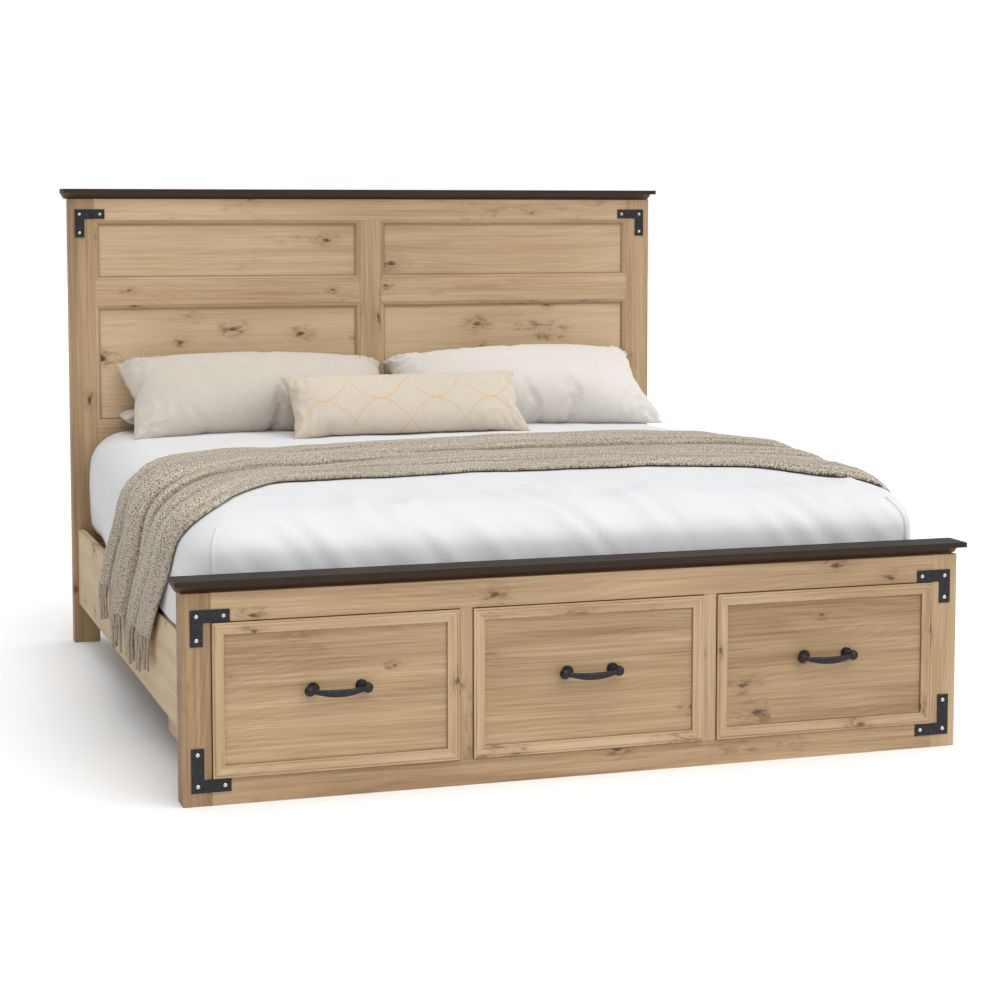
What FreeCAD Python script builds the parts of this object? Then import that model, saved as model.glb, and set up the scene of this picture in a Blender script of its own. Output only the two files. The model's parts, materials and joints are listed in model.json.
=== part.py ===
import FreeCAD, Part
import os
import re
import Sketcher
from FreeCAD import Placement, Rotation, Vector

# King-size platform bed with three drawers in the footboard.
# Frame: origin on the floor at the centre of the bounding box, +Z up, +X to the right seen from
# the foot, the drawers face -Y and the headboard stands at +Y.  Millimetres.

doc = FreeCAD.newDocument("storage_bed")
sheet = doc.addObject("Spreadsheet::Sheet", "dims")

SIZES = {
    # footboard
    "foot_width": 2055,
    "foot_height": 545,
    "foot_thick": 72,
    "foot_post": 70,
    "foot_rail_thick": 30,
    "foot_top_rail": 71,
    "foot_bottom_rail": 64,
    "foot_divider": 34,
    "inner_rail_thick": 22,
    # distance from the footboard's front face to the headboard's front face
    "bed_length": 2155,
    # headboard
    "head_width": 2015,
    "head_height": 1485,
    "head_thick": 50,
    "head_stile": 83,
    "head_centre_stile": 74,
    "head_top_rail": 70,
    "head_upper_open": 197,
    "head_mid_rail": 80,
    "head_lower_open": 384,
    "head_bottom_rail": 80,
    "head_base_low": 230,
    "head_base_rail": 70,
    "head_base_thick": 30,
    "head_panel_set": 12,
    "head_panel_thick": 12,
    # the dark caps of both boards
    "cap_thick": 32,
    "cap_lip": 13,
    "cap_taper": 11,
    "cap_front_taper": 5,
    "cap_side": 18,
    "foot_cap_front": 22,
    "head_cap_over": 25,
    # mouldings
    "drawer_mould_width": 30,
    "drawer_mould_thick": 11.5,
    "head_mould_width": 15,
    "head_mould_thick": 11,
    # side rails, slats and the beam under them
    "rail_set": 35,
    "rail_thick": 22,
    "rail_low": 130,
    "rail_high": 375,
    "plate_thick": 3,
    "plate_width": 22,
    "plate_tall": 150,
    "ledger_thick": 22,
    "ledger_tall": 40,
    "slat_thick": 20,
    "slat_width": 68,
    "slat_top": 335,
    "slat_count": 14,
    "slat_end_gap": 2,
    "beam_thick": 40,
    "beam_tall": 70,
    "leg_side": 45,
    # drawers
    "drawer_gap": 2,
    "drawer_set": 4,
    "drawer_front_thick": 18,
    "drawer_depth": 440,
    "box_low": 80,
    "box_high": 290,
    "box_side_thick": 12,
    "box_floor_thick": 6,
    "box_floor_low": 88,
    "slide_space": 12.7,
    "slide_thick": 6,
    "slide_tall": 36,
    "slide_low": 150,
    "guide_thick": 12,
    "guide_depth": 500,
    # corner brackets and their screws
    "bracket_thick": 2.5,
    "bracket_arm": 31,
    "bracket_edge": 20,
    "bracket_long": 96,
    "bracket_tall_top": 88,
    "bracket_tall_low": 107,
    "bracket_tall_head": 91,
    "bracket_drop_foot": 40,
    "bracket_drop_head": 34,
    "bracket_lift": 33,
    "screw_hole": 2.6,
    "screw_shank": 2.5,
    "screw_head": 5.5,
    "screw_dome": 3.2,
    "screw_inset": 15,
    # drawer pulls
    "handle_reach": 37,
    "handle_half": 60,
    "handle_height": 267,
    "rosette_radius": 15,
    "rosette_thick": 5,
    "knuckle_radius": 13,
    "knuckle_out": 12,
    "knuckle_drop": 3,
    "grip_drop": 9,
    "grip_half_tall": 9,
    "grip_half_thick": 5,
    # bedding
    "mattress_width": 1930,
    "mattress_length": 2030,
    "mattress_thick": 305,
    "mattress_round": 40,
    "duvet_loft": 65,
    "duvet_side": 25,
    "duvet_foot": 18,
    "duvet_low": 386,
    "duvet_round": 60,
    "throw_thick": 10,
    "throw_gap": 3,
    "throw_low": 232,
    "throw_front_mid": 735,
    "throw_front_side": 200,
    "throw_back_mid": 1560,
    "throw_back_side": 1440,
    "pillow_long": 890,
    "pillow_deep": 400,
    "pillow_thick": 140,
    "pillow_tilt": 28,
    "pillow_apart": 4,
    "pillow_shift": 33,
    "pillow_reach": 345,
    "pillow_sink": 22,
    "under_deep": 140,
    "under_thick": 76,
    "under_shift": 5,
    "lumbar_long": 790,
    "lumbar_deep": 240,
    "lumbar_thick": 88,
    "lumbar_tilt": 42,
    "lumbar_ahead": 190,
    "lumbar_sink": 16,
    "soft_gap": 1,
    # small arrises
    "edge_break": 1,
}

for row, (alias, number) in enumerate(SIZES.items(), start=1):
    sheet.set(f"A{row}", alias)
    sheet.set(f"B{row}", str(number))
    sheet.setAlias(f"B{row}", alias)
doc.recompute()

# ---- derived places, as expressions over the sheet -------------------------------------------
DEPTH = "(handle_reach + bed_length + head_thick + head_cap_over)"
FOOT_FRONT = f"(handle_reach - {DEPTH} / 2)"
FOOT_BACK = f"({FOOT_FRONT} + foot_thick)"
HEAD_FRONT = f"({FOOT_FRONT} + bed_length)"
HEAD_BACK = f"({HEAD_FRONT} + head_thick)"
FOOT_TOP = "(foot_height - cap_thick)"
OPEN_TOP = f"({FOOT_TOP} - foot_top_rail)"
OPEN_WIDTH = "((foot_width - 2 * foot_post - 2 * foot_divider) / 3)"
HEAD_TOP = "(head_height - cap_thick)"
UPPER_TOP = f"({HEAD_TOP} - head_top_rail)"
UPPER_LOW = f"({UPPER_TOP} - head_upper_open)"
LOWER_TOP = f"({UPPER_LOW} - head_mid_rail)"
LOWER_LOW = f"({LOWER_TOP} - head_lower_open)"
HEAD_RAIL_LOW = f"({LOWER_LOW} - head_bottom_rail)"
HEAD_INSIDE = "(head_width / 2 - head_stile)"
PANEL_FRONT = f"({HEAD_FRONT} + head_panel_set)"
RAIL_OUT = "(foot_width / 2 - rail_set)"
RAIL_IN = f"({RAIL_OUT} - rail_thick)"
SLAT_LOW = "(slat_top - slat_thick)"
GUIDE_FRONT = f"({FOOT_FRONT} + foot_rail_thick)"
GUIDE_BACK = f"({GUIDE_FRONT} + guide_depth)"
DRAWER_FACE = f"({FOOT_FRONT} + drawer_set)"
BOX_FRONT = f"({DRAWER_FACE} + drawer_front_thick)"
BOX_BACK = f"({BOX_FRONT} + drawer_depth)"
MATTRESS_TOP = "(slat_top + mattress_thick)"
MATTRESS_FOOT = f"(({FOOT_BACK} + {HEAD_FRONT} - mattress_length) / 2)"
MATTRESS_HEAD = f"({MATTRESS_FOOT} + mattress_length)"
DUVET_TOP = f"({MATTRESS_TOP} + duvet_loft)"
DUVET_HALF = "(mattress_width / 2 + duvet_side)"
PILLOW_REST = f"({DUVET_TOP} + soft_gap)"

nodes = []


# ---- helpers ---------------------------------------------------------------------------------
def size(alias):
    """A dimension's value, read from the sheet."""
    return float(sheet.get(alias))


def with_sheet(text):
    """The same expression with every sheet alias written in full."""
    def full(match):
        word = match.group(0)
        return "dims." + word if word in SIZES else word
    return re.sub(r"[a-z][a-z_]*", full, text)


def bind(thing, prop, text):
    """Bind one property to an expression over the sheet."""
    thing.setExpression(prop, with_sheet(text))


def move(thing, x="0", y="0", z="0"):
    """Bind the place of an object's origin."""
    bind(thing, "Placement.Base.x", x)
    bind(thing, "Placement.Base.y", y)
    bind(thing, "Placement.Base.z", z)


def turn(thing, axis, angle):
    """Turn an object about an axis through its own origin."""
    thing.Placement = Placement(Vector(0, 0, 0), Rotation(axis, angle))


def keep(thing, label):
    """Name an object as one of the bed's pieces."""
    thing.Label = label
    nodes.append(thing)
    return thing


def block(name, x, y, z):
    """A box between the low and high expressions given for each axis."""
    box = doc.addObject("Part::Box", name + "_block")
    for prop, (low, high) in (("Length", x), ("Width", y), ("Height", z)):
        bind(box, prop, f"({high}) - ({low})")
    move(box, x[0], y[0], z[0])
    return box


def board(name, x, y, z):
    """A block with all twelve arrises broken, as sawn and sanded timber has."""
    chamfer = doc.addObject("Part::Chamfer", name)
    chamfer.Base = block(name, x, y, z)
    broken = size("edge_break")
    chamfer.Edges = [(edge, broken, broken) for edge in range(1, 13)]
    return chamfer


def rounded(name, x, y, z, radius, edges=range(1, 13)):
    """A block with the given edges rounded."""
    fillet = doc.addObject("Part::Fillet", name)
    fillet.Base = block(name, x, y, z)
    fillet.Edges = [(edge, radius, radius) for edge in edges]
    return fillet


def group(name, members):
    """Several separate solids held as one piece."""
    compound = doc.addObject("Part::Compound", name)
    compound.Links = members
    return compound


def mirrored(span):
    """The same span of X on the other side of the bed."""
    low, high = span
    return (f"-({high})", f"-({low})")


def centred(middle, width):
    """A span of the given width about a middle."""
    return (f"({middle}) - ({width}) / 2", f"({middle}) + ({width}) / 2")


def closed_outline(sketch, corners):
    """A closed polygon in a sketch; each corner is a pair of expressions in the positive quadrant."""
    count = len(corners)
    start = [Vector(10 + 5 * i, 10 + 3 * ((i * 7) % count), 0) for i in range(count)]
    for i in range(count):
        sketch.addGeometry(Part.LineSegment(start[i], start[(i + 1) % count]), False)
    for i in range(count):
        sketch.addConstraint(Sketcher.Constraint("Coincident", i, 2, (i + 1) % count, 1))
    for i, (across, up) in enumerate(corners):
        for kind, now, text in (("DistanceX", start[i].x, across), ("DistanceY", start[i].y, up)):
            index = sketch.addConstraint(Sketcher.Constraint(kind, i, 1, now))
            bind(sketch, f"Constraints[{index}]", text)


def round_hole(sketch, across, up, radius):
    """A circle in a sketch, placed and sized by expressions."""
    index = sketch.addGeometry(Part.Circle(Vector(20, 20, 0), Vector(0, 0, 1), 3), False)
    for kind, args, text in (
        ("Radius", (index, 3), radius),
        ("DistanceX", (index, 3, 20), across),
        ("DistanceY", (index, 3, 20), up),
    ):
        number = sketch.addConstraint(Sketcher.Constraint(kind, *args))
        bind(sketch, f"Constraints[{number}]", text)


def body_sketch(body, name, role):
    """A sketch on one of the body's own origin planes."""
    sketch = body.newObject("Sketcher::SketchObject", name)
    plane = [feature for feature in body.Origin.OriginFeatures if feature.Role == role][0]
    sketch.AttachmentSupport = [(plane, "")]
    sketch.MapMode = "FlatFace"
    return sketch


# ---- moulded frames --------------------------------------------------------------------------
def moulding_section(name, width, thick, shape):
    """A long bar of one moulding.

    The section lies in YZ: Y runs across from the outer edge to the panel, Z is the height over
    the back.  shape gives (across, height, bulge) in parts of the width and thickness; the
    stretch that ends at a point with a bulge is an arc standing that far off its chord.
    """
    corners = [(Vector(0, a * width, h * thick), b * thick) for a, h, b in shape]
    edges = []
    for (before, _), (after, bulge) in zip(corners, corners[1:] + corners[:1]):
        if bulge:
            chord = after - before
            normal = Vector(0, -chord.z, chord.y).normalize()
            edges.append(Part.Arc(before, (before + after) / 2 + normal * bulge, after).toShape())
        else:
            edges.append(Part.LineSegment(before, after).toShape())
    section = doc.addObject("Part::Feature", name + "_section")
    section.Shape = Part.Face(Part.Wire(edges))
    bar = doc.addObject("Part::Extrusion", name + "_bar")
    bar.Base = section
    bar.DirMode = "Custom"
    bar.Dir = Vector(1, 0, 0)
    bar.Solid = True
    bind(bar, "LengthFwd", "head_width / 2")
    return bar


def moulded_frame(name, bar, width, thick, x, y, z):
    """Four mitred strips of one moulding round an opening, their backs against the plane y.

    The strips are laid out flat in XY and the whole frame is stood up to face -Y.
    """
    across = f"(({x[1]}) - ({x[0]}))"
    up = f"(({z[1]}) - ({z[0]}))"
    strips = []
    for side, length, start, angle in (
        ("bottom", across, ("0", "0"), 0),
        ("right", up, (across, "0"), 90),
        ("top", across, (across, up), 180),
        ("left", up, ("0", up), 270),
    ):
        mitre = doc.addObject("Part::Wedge", f"{name}_{side}_mitre")
        for prop, text in (
            ("Xmin", "0"), ("Xmax", length), ("Ymin", "0"), ("Ymax", width),
            ("Zmin", "0"), ("Zmax", thick), ("X2min", width), ("X2max", f"{length} - {width}"),
            ("Z2min", "0"), ("Z2max", thick),
        ):
            bind(mitre, prop, text)
        strip = doc.addObject("Part::Common", f"{name}_{side}")
        strip.Base = mitre
        strip.Tool = bar
        turn(strip, Vector(0, 0, 1), angle)
        move(strip, start[0], start[1])
        strips.append(strip)
    frame = group(name, strips)
    turn(frame, Vector(1, 0, 0), 90)
    move(frame, x[0], y, z[0])
    return frame


drawer_bar = moulding_section(
    "drawer_moulding", size("drawer_mould_width"), size("drawer_mould_thick"),
    [(0, 0, 0), (0, 0.88, 0), (0.13, 0.88, 0), (0.16, 0.74, 0), (0.42, 0.86, 0.16), (0.80, 0.50, -0.10),
     (0.84, 0.50, 0), (0.97, 0.42, 0.10), (1, 0, 0)],
)
head_bar = moulding_section(
    "headboard_moulding", size("head_mould_width"), size("head_mould_thick"),
    [(0, 0, 0), (0, 0.90, 0), (0.20, 0.90, 0), (0.24, 0.78, 0), (0.55, 0.68, 0.10), (0.90, 0.40, -0.10),
     (1, 0.38, 0), (1, 0, 0)],
)


# ---- caps ------------------------------------------------------------------------------------
def cap(name, half, y, top):
    """A board with a square lip above and a taper below, steeper at the ends than along the front."""
    lip_low = f"({top} - cap_lip)"
    low = f"({top} - cap_thick)"
    deep = f"({y[1]} - {y[0]})"
    lip = block(name + "_lip", (f"-{half}", half), y, (lip_low, top))
    taper = doc.addObject("Part::Wedge", name + "_taper")
    for prop, text in (
        ("Xmin", f"cap_taper - {half}"), ("Xmax", f"{half} - cap_taper"),
        ("X2min", f"-{half}"), ("X2max", half),
        ("Ymin", "0"), ("Ymax", "cap_thick - cap_lip"),
        ("Zmin", "cap_front_taper"), ("Zmax", f"{deep} - cap_front_taper"),
        ("Z2min", "0"), ("Z2max", deep),
    ):
        bind(taper, prop, text)
    turn(taper, Vector(1, 0, 0), 90)
    move(taper, "0", y[1], low)
    whole = doc.addObject("Part::Fuse", name + "_whole")
    whole.Base = lip
    whole.Tool = taper
    whole.Refine = True
    return keep(whole, name)


# ---- headboard -------------------------------------------------------------------------------
def headboard():
    """Two legs that run to the floor, rails, a centre stile, four sunk panels and the cap."""
    full = (HEAD_FRONT, HEAD_BACK)
    stile = ("-head_width / 2", f"-{HEAD_INSIDE}")
    left_open = (f"-{HEAD_INSIDE}", "-head_centre_stile / 2")
    inside = (f"-{HEAD_INSIDE}", HEAD_INSIDE)
    base = (PANEL_FRONT, f"{PANEL_FRONT} + head_panel_thick")
    keep(board("headboard_stile_l", stile, full, ("0", HEAD_TOP)), "headboard_stile_left")
    keep(board("headboard_stile_r", mirrored(stile), full, ("0", HEAD_TOP)), "headboard_stile_right")
    centre = centred("0", "head_centre_stile")
    keep(board("headboard_centre", centre, full, (LOWER_LOW, UPPER_TOP)), "headboard_centre_stile")
    keep(board("headboard_top", inside, full, (UPPER_TOP, HEAD_TOP)), "headboard_top_rail")
    keep(board("headboard_bottom", inside, full, (HEAD_RAIL_LOW, LOWER_LOW)), "headboard_bottom_rail")
    mid = [
        board(f"headboard_mid_{side}", span, full, (LOWER_TOP, UPPER_LOW))
        for side, span in (("l", left_open), ("r", mirrored(left_open)))
    ]
    keep(group("headboard_mid", mid), "headboard_mid_rails")
    for row, low, high in (("upper", UPPER_LOW, UPPER_TOP), ("lower", LOWER_LOW, LOWER_TOP)):
        panels = [
            block(f"headboard_{row}_{side}", span, base, (low, high))
            for side, span in (("l", left_open), ("r", mirrored(left_open)))
        ]
        keep(group(f"headboard_{row}", panels), f"headboard_{row}_panels")
        frames = [
            moulded_frame(f"headboard_{row}_frame_{side}", head_bar, "head_mould_width",
                          "head_mould_thick", span, PANEL_FRONT, (low, high))
            for side, span in (("l", left_open), ("r", mirrored(left_open)))
        ]
        keep(group(f"headboard_{row}_frames", frames), f"headboard_{row}_mouldings")
    base_high = "(head_base_low + head_base_rail)"
    keep(block("headboard_base", inside, base, (base_high, HEAD_RAIL_LOW)), "headboard_base_panel")
    rail_deep = (PANEL_FRONT, f"{PANEL_FRONT} + head_base_thick")
    keep(board("headboard_foot", inside, rail_deep, ("head_base_low", base_high)), "headboard_base_rail")
    over = (f"{HEAD_FRONT} - head_cap_over", f"{HEAD_BACK} + head_cap_over")
    cap("headboard_cap", "(head_width / 2 + cap_side)", over, "head_height")


# ---- footboard -------------------------------------------------------------------------------
def opening(number):
    """The span of X of one drawer opening, counted from the left."""
    low = f"(foot_post - foot_width / 2 + {number} * ({OPEN_WIDTH} + foot_divider))"
    return (low, f"({low} + {OPEN_WIDTH})")


def footboard():
    """Two posts, top and bottom rails, the dividers between the drawers and the cap."""
    post = ("-foot_width / 2", "foot_post - foot_width / 2")
    inside = (post[1], "foot_width / 2 - foot_post")
    front = (FOOT_FRONT, GUIDE_FRONT)
    whole_depth = (FOOT_FRONT, FOOT_BACK)
    for side, span in (("left", post), ("right", mirrored(post))):
        keep(board(f"foot_post_{side}", span, whole_depth, ("0", FOOT_TOP)), f"footboard_post_{side}")
    keep(board("foot_top", inside, front, (OPEN_TOP, FOOT_TOP)), "footboard_top_rail")
    keep(board("foot_bottom", inside, front, ("0", "foot_bottom_rail")), "footboard_bottom_rail")
    divider_z = ("foot_bottom_rail", OPEN_TOP)
    dividers = [
        board(f"foot_divider_{i}", (opening(i)[1], opening(i + 1)[0]), front, divider_z)
        for i in range(2)
    ]
    keep(group("foot_dividers", dividers), "footboard_dividers")
    inner = (f"{FOOT_BACK} - inner_rail_thick", FOOT_BACK)
    keep(board("foot_inner", inside, inner, (SLAT_LOW, FOOT_TOP)), "footboard_inner_rail")
    over = (f"{FOOT_FRONT} - foot_cap_front", FOOT_BACK)
    cap("footboard_cap", "(foot_width / 2 + cap_side)", over, "foot_height")


# ---- rails, slats, beam ----------------------------------------------------------------------
def platform():
    """Side rails on joint plates, ledgers, slats, and the centre beam on its legs."""
    rail = (f"-{RAIL_OUT}", f"-{RAIL_IN}")
    rail_run = (f"{FOOT_BACK} + plate_thick", f"{HEAD_FRONT} - plate_thick")
    for side, span in (("left", rail), ("right", mirrored(rail))):
        keep(board(f"rail_{side}", span, rail_run, ("rail_low", "rail_high")), f"side_rail_{side}")
    plates = []
    plate_x = (f"-{RAIL_OUT}", f"plate_width - {RAIL_OUT}")
    plate_z = centred("(rail_low + rail_high) / 2", "plate_tall")
    for end, run in (
        ("foot", (FOOT_BACK, f"{FOOT_BACK} + plate_thick")),
        ("head", (f"{HEAD_FRONT} - plate_thick", HEAD_FRONT)),
    ):
        for side, span in (("left", plate_x), ("right", mirrored(plate_x))):
            plates.append(block(f"plate_{end}_{side}", span, run, plate_z))
    keep(group("plates", plates), "rail_joint_plates")
    ledger = (f"-{RAIL_IN}", f"ledger_thick - {RAIL_IN}")
    board_back = f"({GUIDE_BACK} + guide_thick)"
    ledger_run = (board_back, f"{HEAD_FRONT} - plate_thick")
    ledgers = [
        board(f"ledger_{side}", span, ledger_run, (f"{SLAT_LOW} - ledger_tall", SLAT_LOW))
        for side, span in (("left", ledger), ("right", mirrored(ledger)))
    ]
    keep(group("ledgers", ledgers), "slat_ledgers")
    slat_x = (f"slat_end_gap - {RAIL_IN}", f"{RAIL_IN} - slat_end_gap")
    first = f"({FOOT_BACK} + slat_width)"
    pitch = f"(({HEAD_FRONT} - slat_width - {first}) / (slat_count - 1))"
    slat_z = (SLAT_LOW, "slat_top")
    slats = [
        board(f"slat_{i}", slat_x, centred(f"{first} + {i} * {pitch}", "slat_width"), slat_z)
        for i in range(int(size("slat_count")))
    ]
    keep(group("slats", slats), "slats")
    beam_low = f"({SLAT_LOW} - beam_tall)"
    beam_run = (board_back, PANEL_FRONT)
    keep(board("beam", centred("0", "beam_thick"), beam_run, (beam_low, SLAT_LOW)), "centre_beam")
    legs = []
    for i, part_way in enumerate(("0.12", "0.55", "0.94")):
        middle = f"{board_back} + {part_way} * ({PANEL_FRONT} - {board_back})"
        spans = (centred("0", "leg_side"), centred(middle, "leg_side"), ("0", beam_low))
        legs.append(board(f"leg_{i}", *spans))
    keep(group("legs", legs), "centre_legs")
    back_run = (GUIDE_BACK, board_back)
    back_x = (f"-{RAIL_IN}", RAIL_IN)
    keep(board("guide_back", back_x, back_run, ("foot_bottom_rail", SLAT_LOW)), "drawer_guide_back")


# ---- drawers ---------------------------------------------------------------------------------
def pull(name, middle):
    """A bow pull: two rosettes, two knuckles and a grip that swells and bows out."""
    face = DRAWER_FACE
    pieces = []
    for sign in ("-", "+"):
        tag = f"{name}_{'l' if sign == '-' else 'r'}"
        plate = doc.addObject("Part::Cylinder", tag + "_rosette")
        bind(plate, "Radius", "rosette_radius")
        bind(plate, "Height", "rosette_thick")
        turn(plate, Vector(1, 0, 0), 90)
        move(plate, f"{middle} {sign} handle_half", face, "handle_height")
        neck = doc.addObject("Part::Cone", tag + "_neck")
        bind(neck, "Radius1", "rosette_radius * 0.8")
        bind(neck, "Radius2", "knuckle_radius * 0.5")
        bind(neck, "Height", "rosette_thick + knuckle_radius")
        neck.Placement = Placement(Vector(0, 0, 0), Rotation(Vector(0, 0, 1), -24 if sign == "-" else 24)
                                   .multiply(Rotation(Vector(1, 0, 0), 90)))
        move(neck, f"{middle} {sign} handle_half", f"{face} - rosette_thick", "handle_height")
        # the sphere's seam is turned away from the grip
        knuckle = doc.addObject("Part::Sphere", tag + "_knuckle")
        bind(knuckle, "Radius", "knuckle_radius")
        turn(knuckle, Vector(0, 0, 1), 180 if sign == "-" else 0)
        move(knuckle, f"{middle} {sign} (handle_half + knuckle_out)",
             f"{face} - rosette_thick - knuckle_radius", "handle_height - knuckle_drop")
        pieces += [plate, neck, knuckle]
    sections = []
    reach = "(handle_reach + drawer_set - grip_half_thick)"
    for i, part_way in enumerate((-1, -0.62, 0, 0.62, 1)):
        ring = doc.addObject("Part::Ellipse", f"{name}_ring_{i}")
        swell = f"{0.38 + 0.62 * (1 - part_way ** 2)}"
        bind(ring, "MajorRadius", f"grip_half_tall * {swell} + 0.5")
        bind(ring, "MinorRadius", f"grip_half_thick * (0.6 + 0.4 * {swell})")
        ring.Placement = Placement(Vector(0, 0, 0), Rotation(Vector(0, 1, 0), 90))
        out = f"({reach} - {part_way ** 2} * ({reach} - rosette_thick - knuckle_radius - 2))"
        move(ring, f"{middle} + {part_way} * (handle_half + knuckle_out)", f"{face} - {out}",
             f"handle_height - knuckle_drop - {1 - part_way ** 2} * (grip_drop - knuckle_drop)")
        sections.append(ring)
    grip = doc.addObject("Part::Loft", name + "_grip")
    grip.Sections = sections
    grip.Solid = True
    whole = doc.addObject("Part::MultiFuse", name + "_whole")
    whole.Shapes = pieces + [grip]
    return keep(whole, name)


def drawer(name, number):
    """One drawer: a front with its moulding and pull, and a box on two slide members."""
    low, high = opening(number)
    middle = f"(({low} + {high}) / 2)"
    front_x = (f"{low} + drawer_gap", f"{high} - drawer_gap")
    front_z = ("foot_bottom_rail + drawer_gap", f"{OPEN_TOP} - drawer_gap")
    keep(block(f"{name}_face", front_x, (DRAWER_FACE, BOX_FRONT), front_z), f"{name}_drawer_front")
    frame = moulded_frame(f"{name}_frame", drawer_bar, "drawer_mould_width", "drawer_mould_thick",
                          front_x, DRAWER_FACE, front_z)
    keep(frame, f"{name}_drawer_moulding")
    pull(f"{name}_drawer_pull", middle)
    left_out = f"({low} + slide_space)"
    left_in = f"({left_out} + box_side_thick)"
    right_out = f"({high} - slide_space)"
    right_in = f"({right_out} - box_side_thick)"
    box_z = ("box_low", "box_high")
    sides = [
        board(f"{name}_side_l", (left_out, left_in), (BOX_FRONT, BOX_BACK), box_z),
        board(f"{name}_side_r", (right_in, right_out), (BOX_FRONT, BOX_BACK), box_z),
    ]
    keep(group(f"{name}_sides", sides), f"{name}_drawer_sides")
    back_y = (f"{BOX_BACK} - box_side_thick", BOX_BACK)
    keep(board(f"{name}_back", (left_in, right_in), back_y, box_z), f"{name}_drawer_back")
    floor_z = ("box_floor_low", "box_floor_low + box_floor_thick")
    floor_y = (BOX_FRONT, back_y[0])
    keep(block(f"{name}_floor", (left_in, right_in), floor_y, floor_z), f"{name}_drawer_bottom")
    slide_z = ("slide_low", "slide_low + slide_tall")
    slide_y = (BOX_FRONT, BOX_BACK)
    members = [
        block(f"{name}_member_l", (f"{left_out} - slide_thick", left_out), slide_y, slide_z),
        block(f"{name}_member_r", (right_out, f"{right_out} + slide_thick"), slide_y, slide_z),
    ]
    keep(group(f"{name}_members", members), f"{name}_drawer_slides")


def drawer_guides():
    """A side panel with a fixed slide member on each side of each drawer."""
    panels = []
    members = []
    slide_y = (GUIDE_FRONT, f"{GUIDE_FRONT} + drawer_depth")
    slide_z = ("slide_low", "slide_low + slide_tall")
    for number in range(3):
        low, high = opening(number)
        # the outermost panels start behind the posts, the others behind the front frame
        left_start = FOOT_BACK if number == 0 else GUIDE_FRONT
        right_start = FOOT_BACK if number == 2 else GUIDE_FRONT
        for side, start, panel, member in (
            ("l", left_start, (f"{low} - guide_thick", low), (low, f"{low} + slide_thick")),
            ("r", right_start, (high, f"{high} + guide_thick"), (f"{high} - slide_thick", high)),
        ):
            name = f"guide_{number}_{side}"
            panels.append(block(name, panel, (start, GUIDE_BACK), ("foot_bottom_rail", SLAT_LOW)))
            members.append(block(name + "_member", member, slide_y, slide_z))
    keep(group("guides", panels), "drawer_guide_panels")
    keep(group("fixed_members", members), "cabinet_slides")


# ---- corner brackets -------------------------------------------------------------------------
def bracket(name, tall):
    """An L of flat steel with three holes, its corner at the origin, lying in XZ, facing -Y."""
    body = doc.addObject("PartDesign::Body", name)
    outline = body_sketch(body, name + "_outline", "XY_Plane")
    closed_outline(outline, [
        ("0", "0"), ("bracket_long", "0"), ("bracket_long", "bracket_arm"),
        ("bracket_arm", "bracket_arm"), ("bracket_arm", tall), ("0", tall),
    ])
    for across, up in screw_places(tall):
        round_hole(outline, across, up, "screw_hole")
    pad = body.newObject("PartDesign::Pad", name + "_pad")
    pad.Profile = outline
    bind(pad, "Length", "bracket_thick")
    body.Tip = pad
    return body


def screw_places(tall):
    """The three holes of a bracket, measured along its arms from the corner."""
    middle = "bracket_arm / 2"
    return ((middle, middle), ("bracket_long - screw_inset", middle), (middle, f"{tall} - screw_inset"))


def screw(name):
    """A domed screw along +Z, its head's seat at the origin and its shank behind it."""
    ball = "((screw_head * screw_head + screw_dome * screw_dome) / (2 * screw_dome))"
    dome = doc.addObject("Part::Sphere", name + "_dome")
    bind(dome, "Radius", ball)
    bind(dome, "Angle1", f"asin(({ball} - screw_dome) / {ball})")
    move(dome, z=f"screw_dome - {ball}")
    shank = doc.addObject("Part::Cylinder", name + "_shank")
    bind(shank, "Radius", "screw_shank")
    bind(shank, "Height", "bracket_thick")
    move(shank, z="-bracket_thick")
    whole = doc.addObject("Part::Fuse", name)
    whole.Base = dome
    whole.Tool = shank
    return whole


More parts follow.
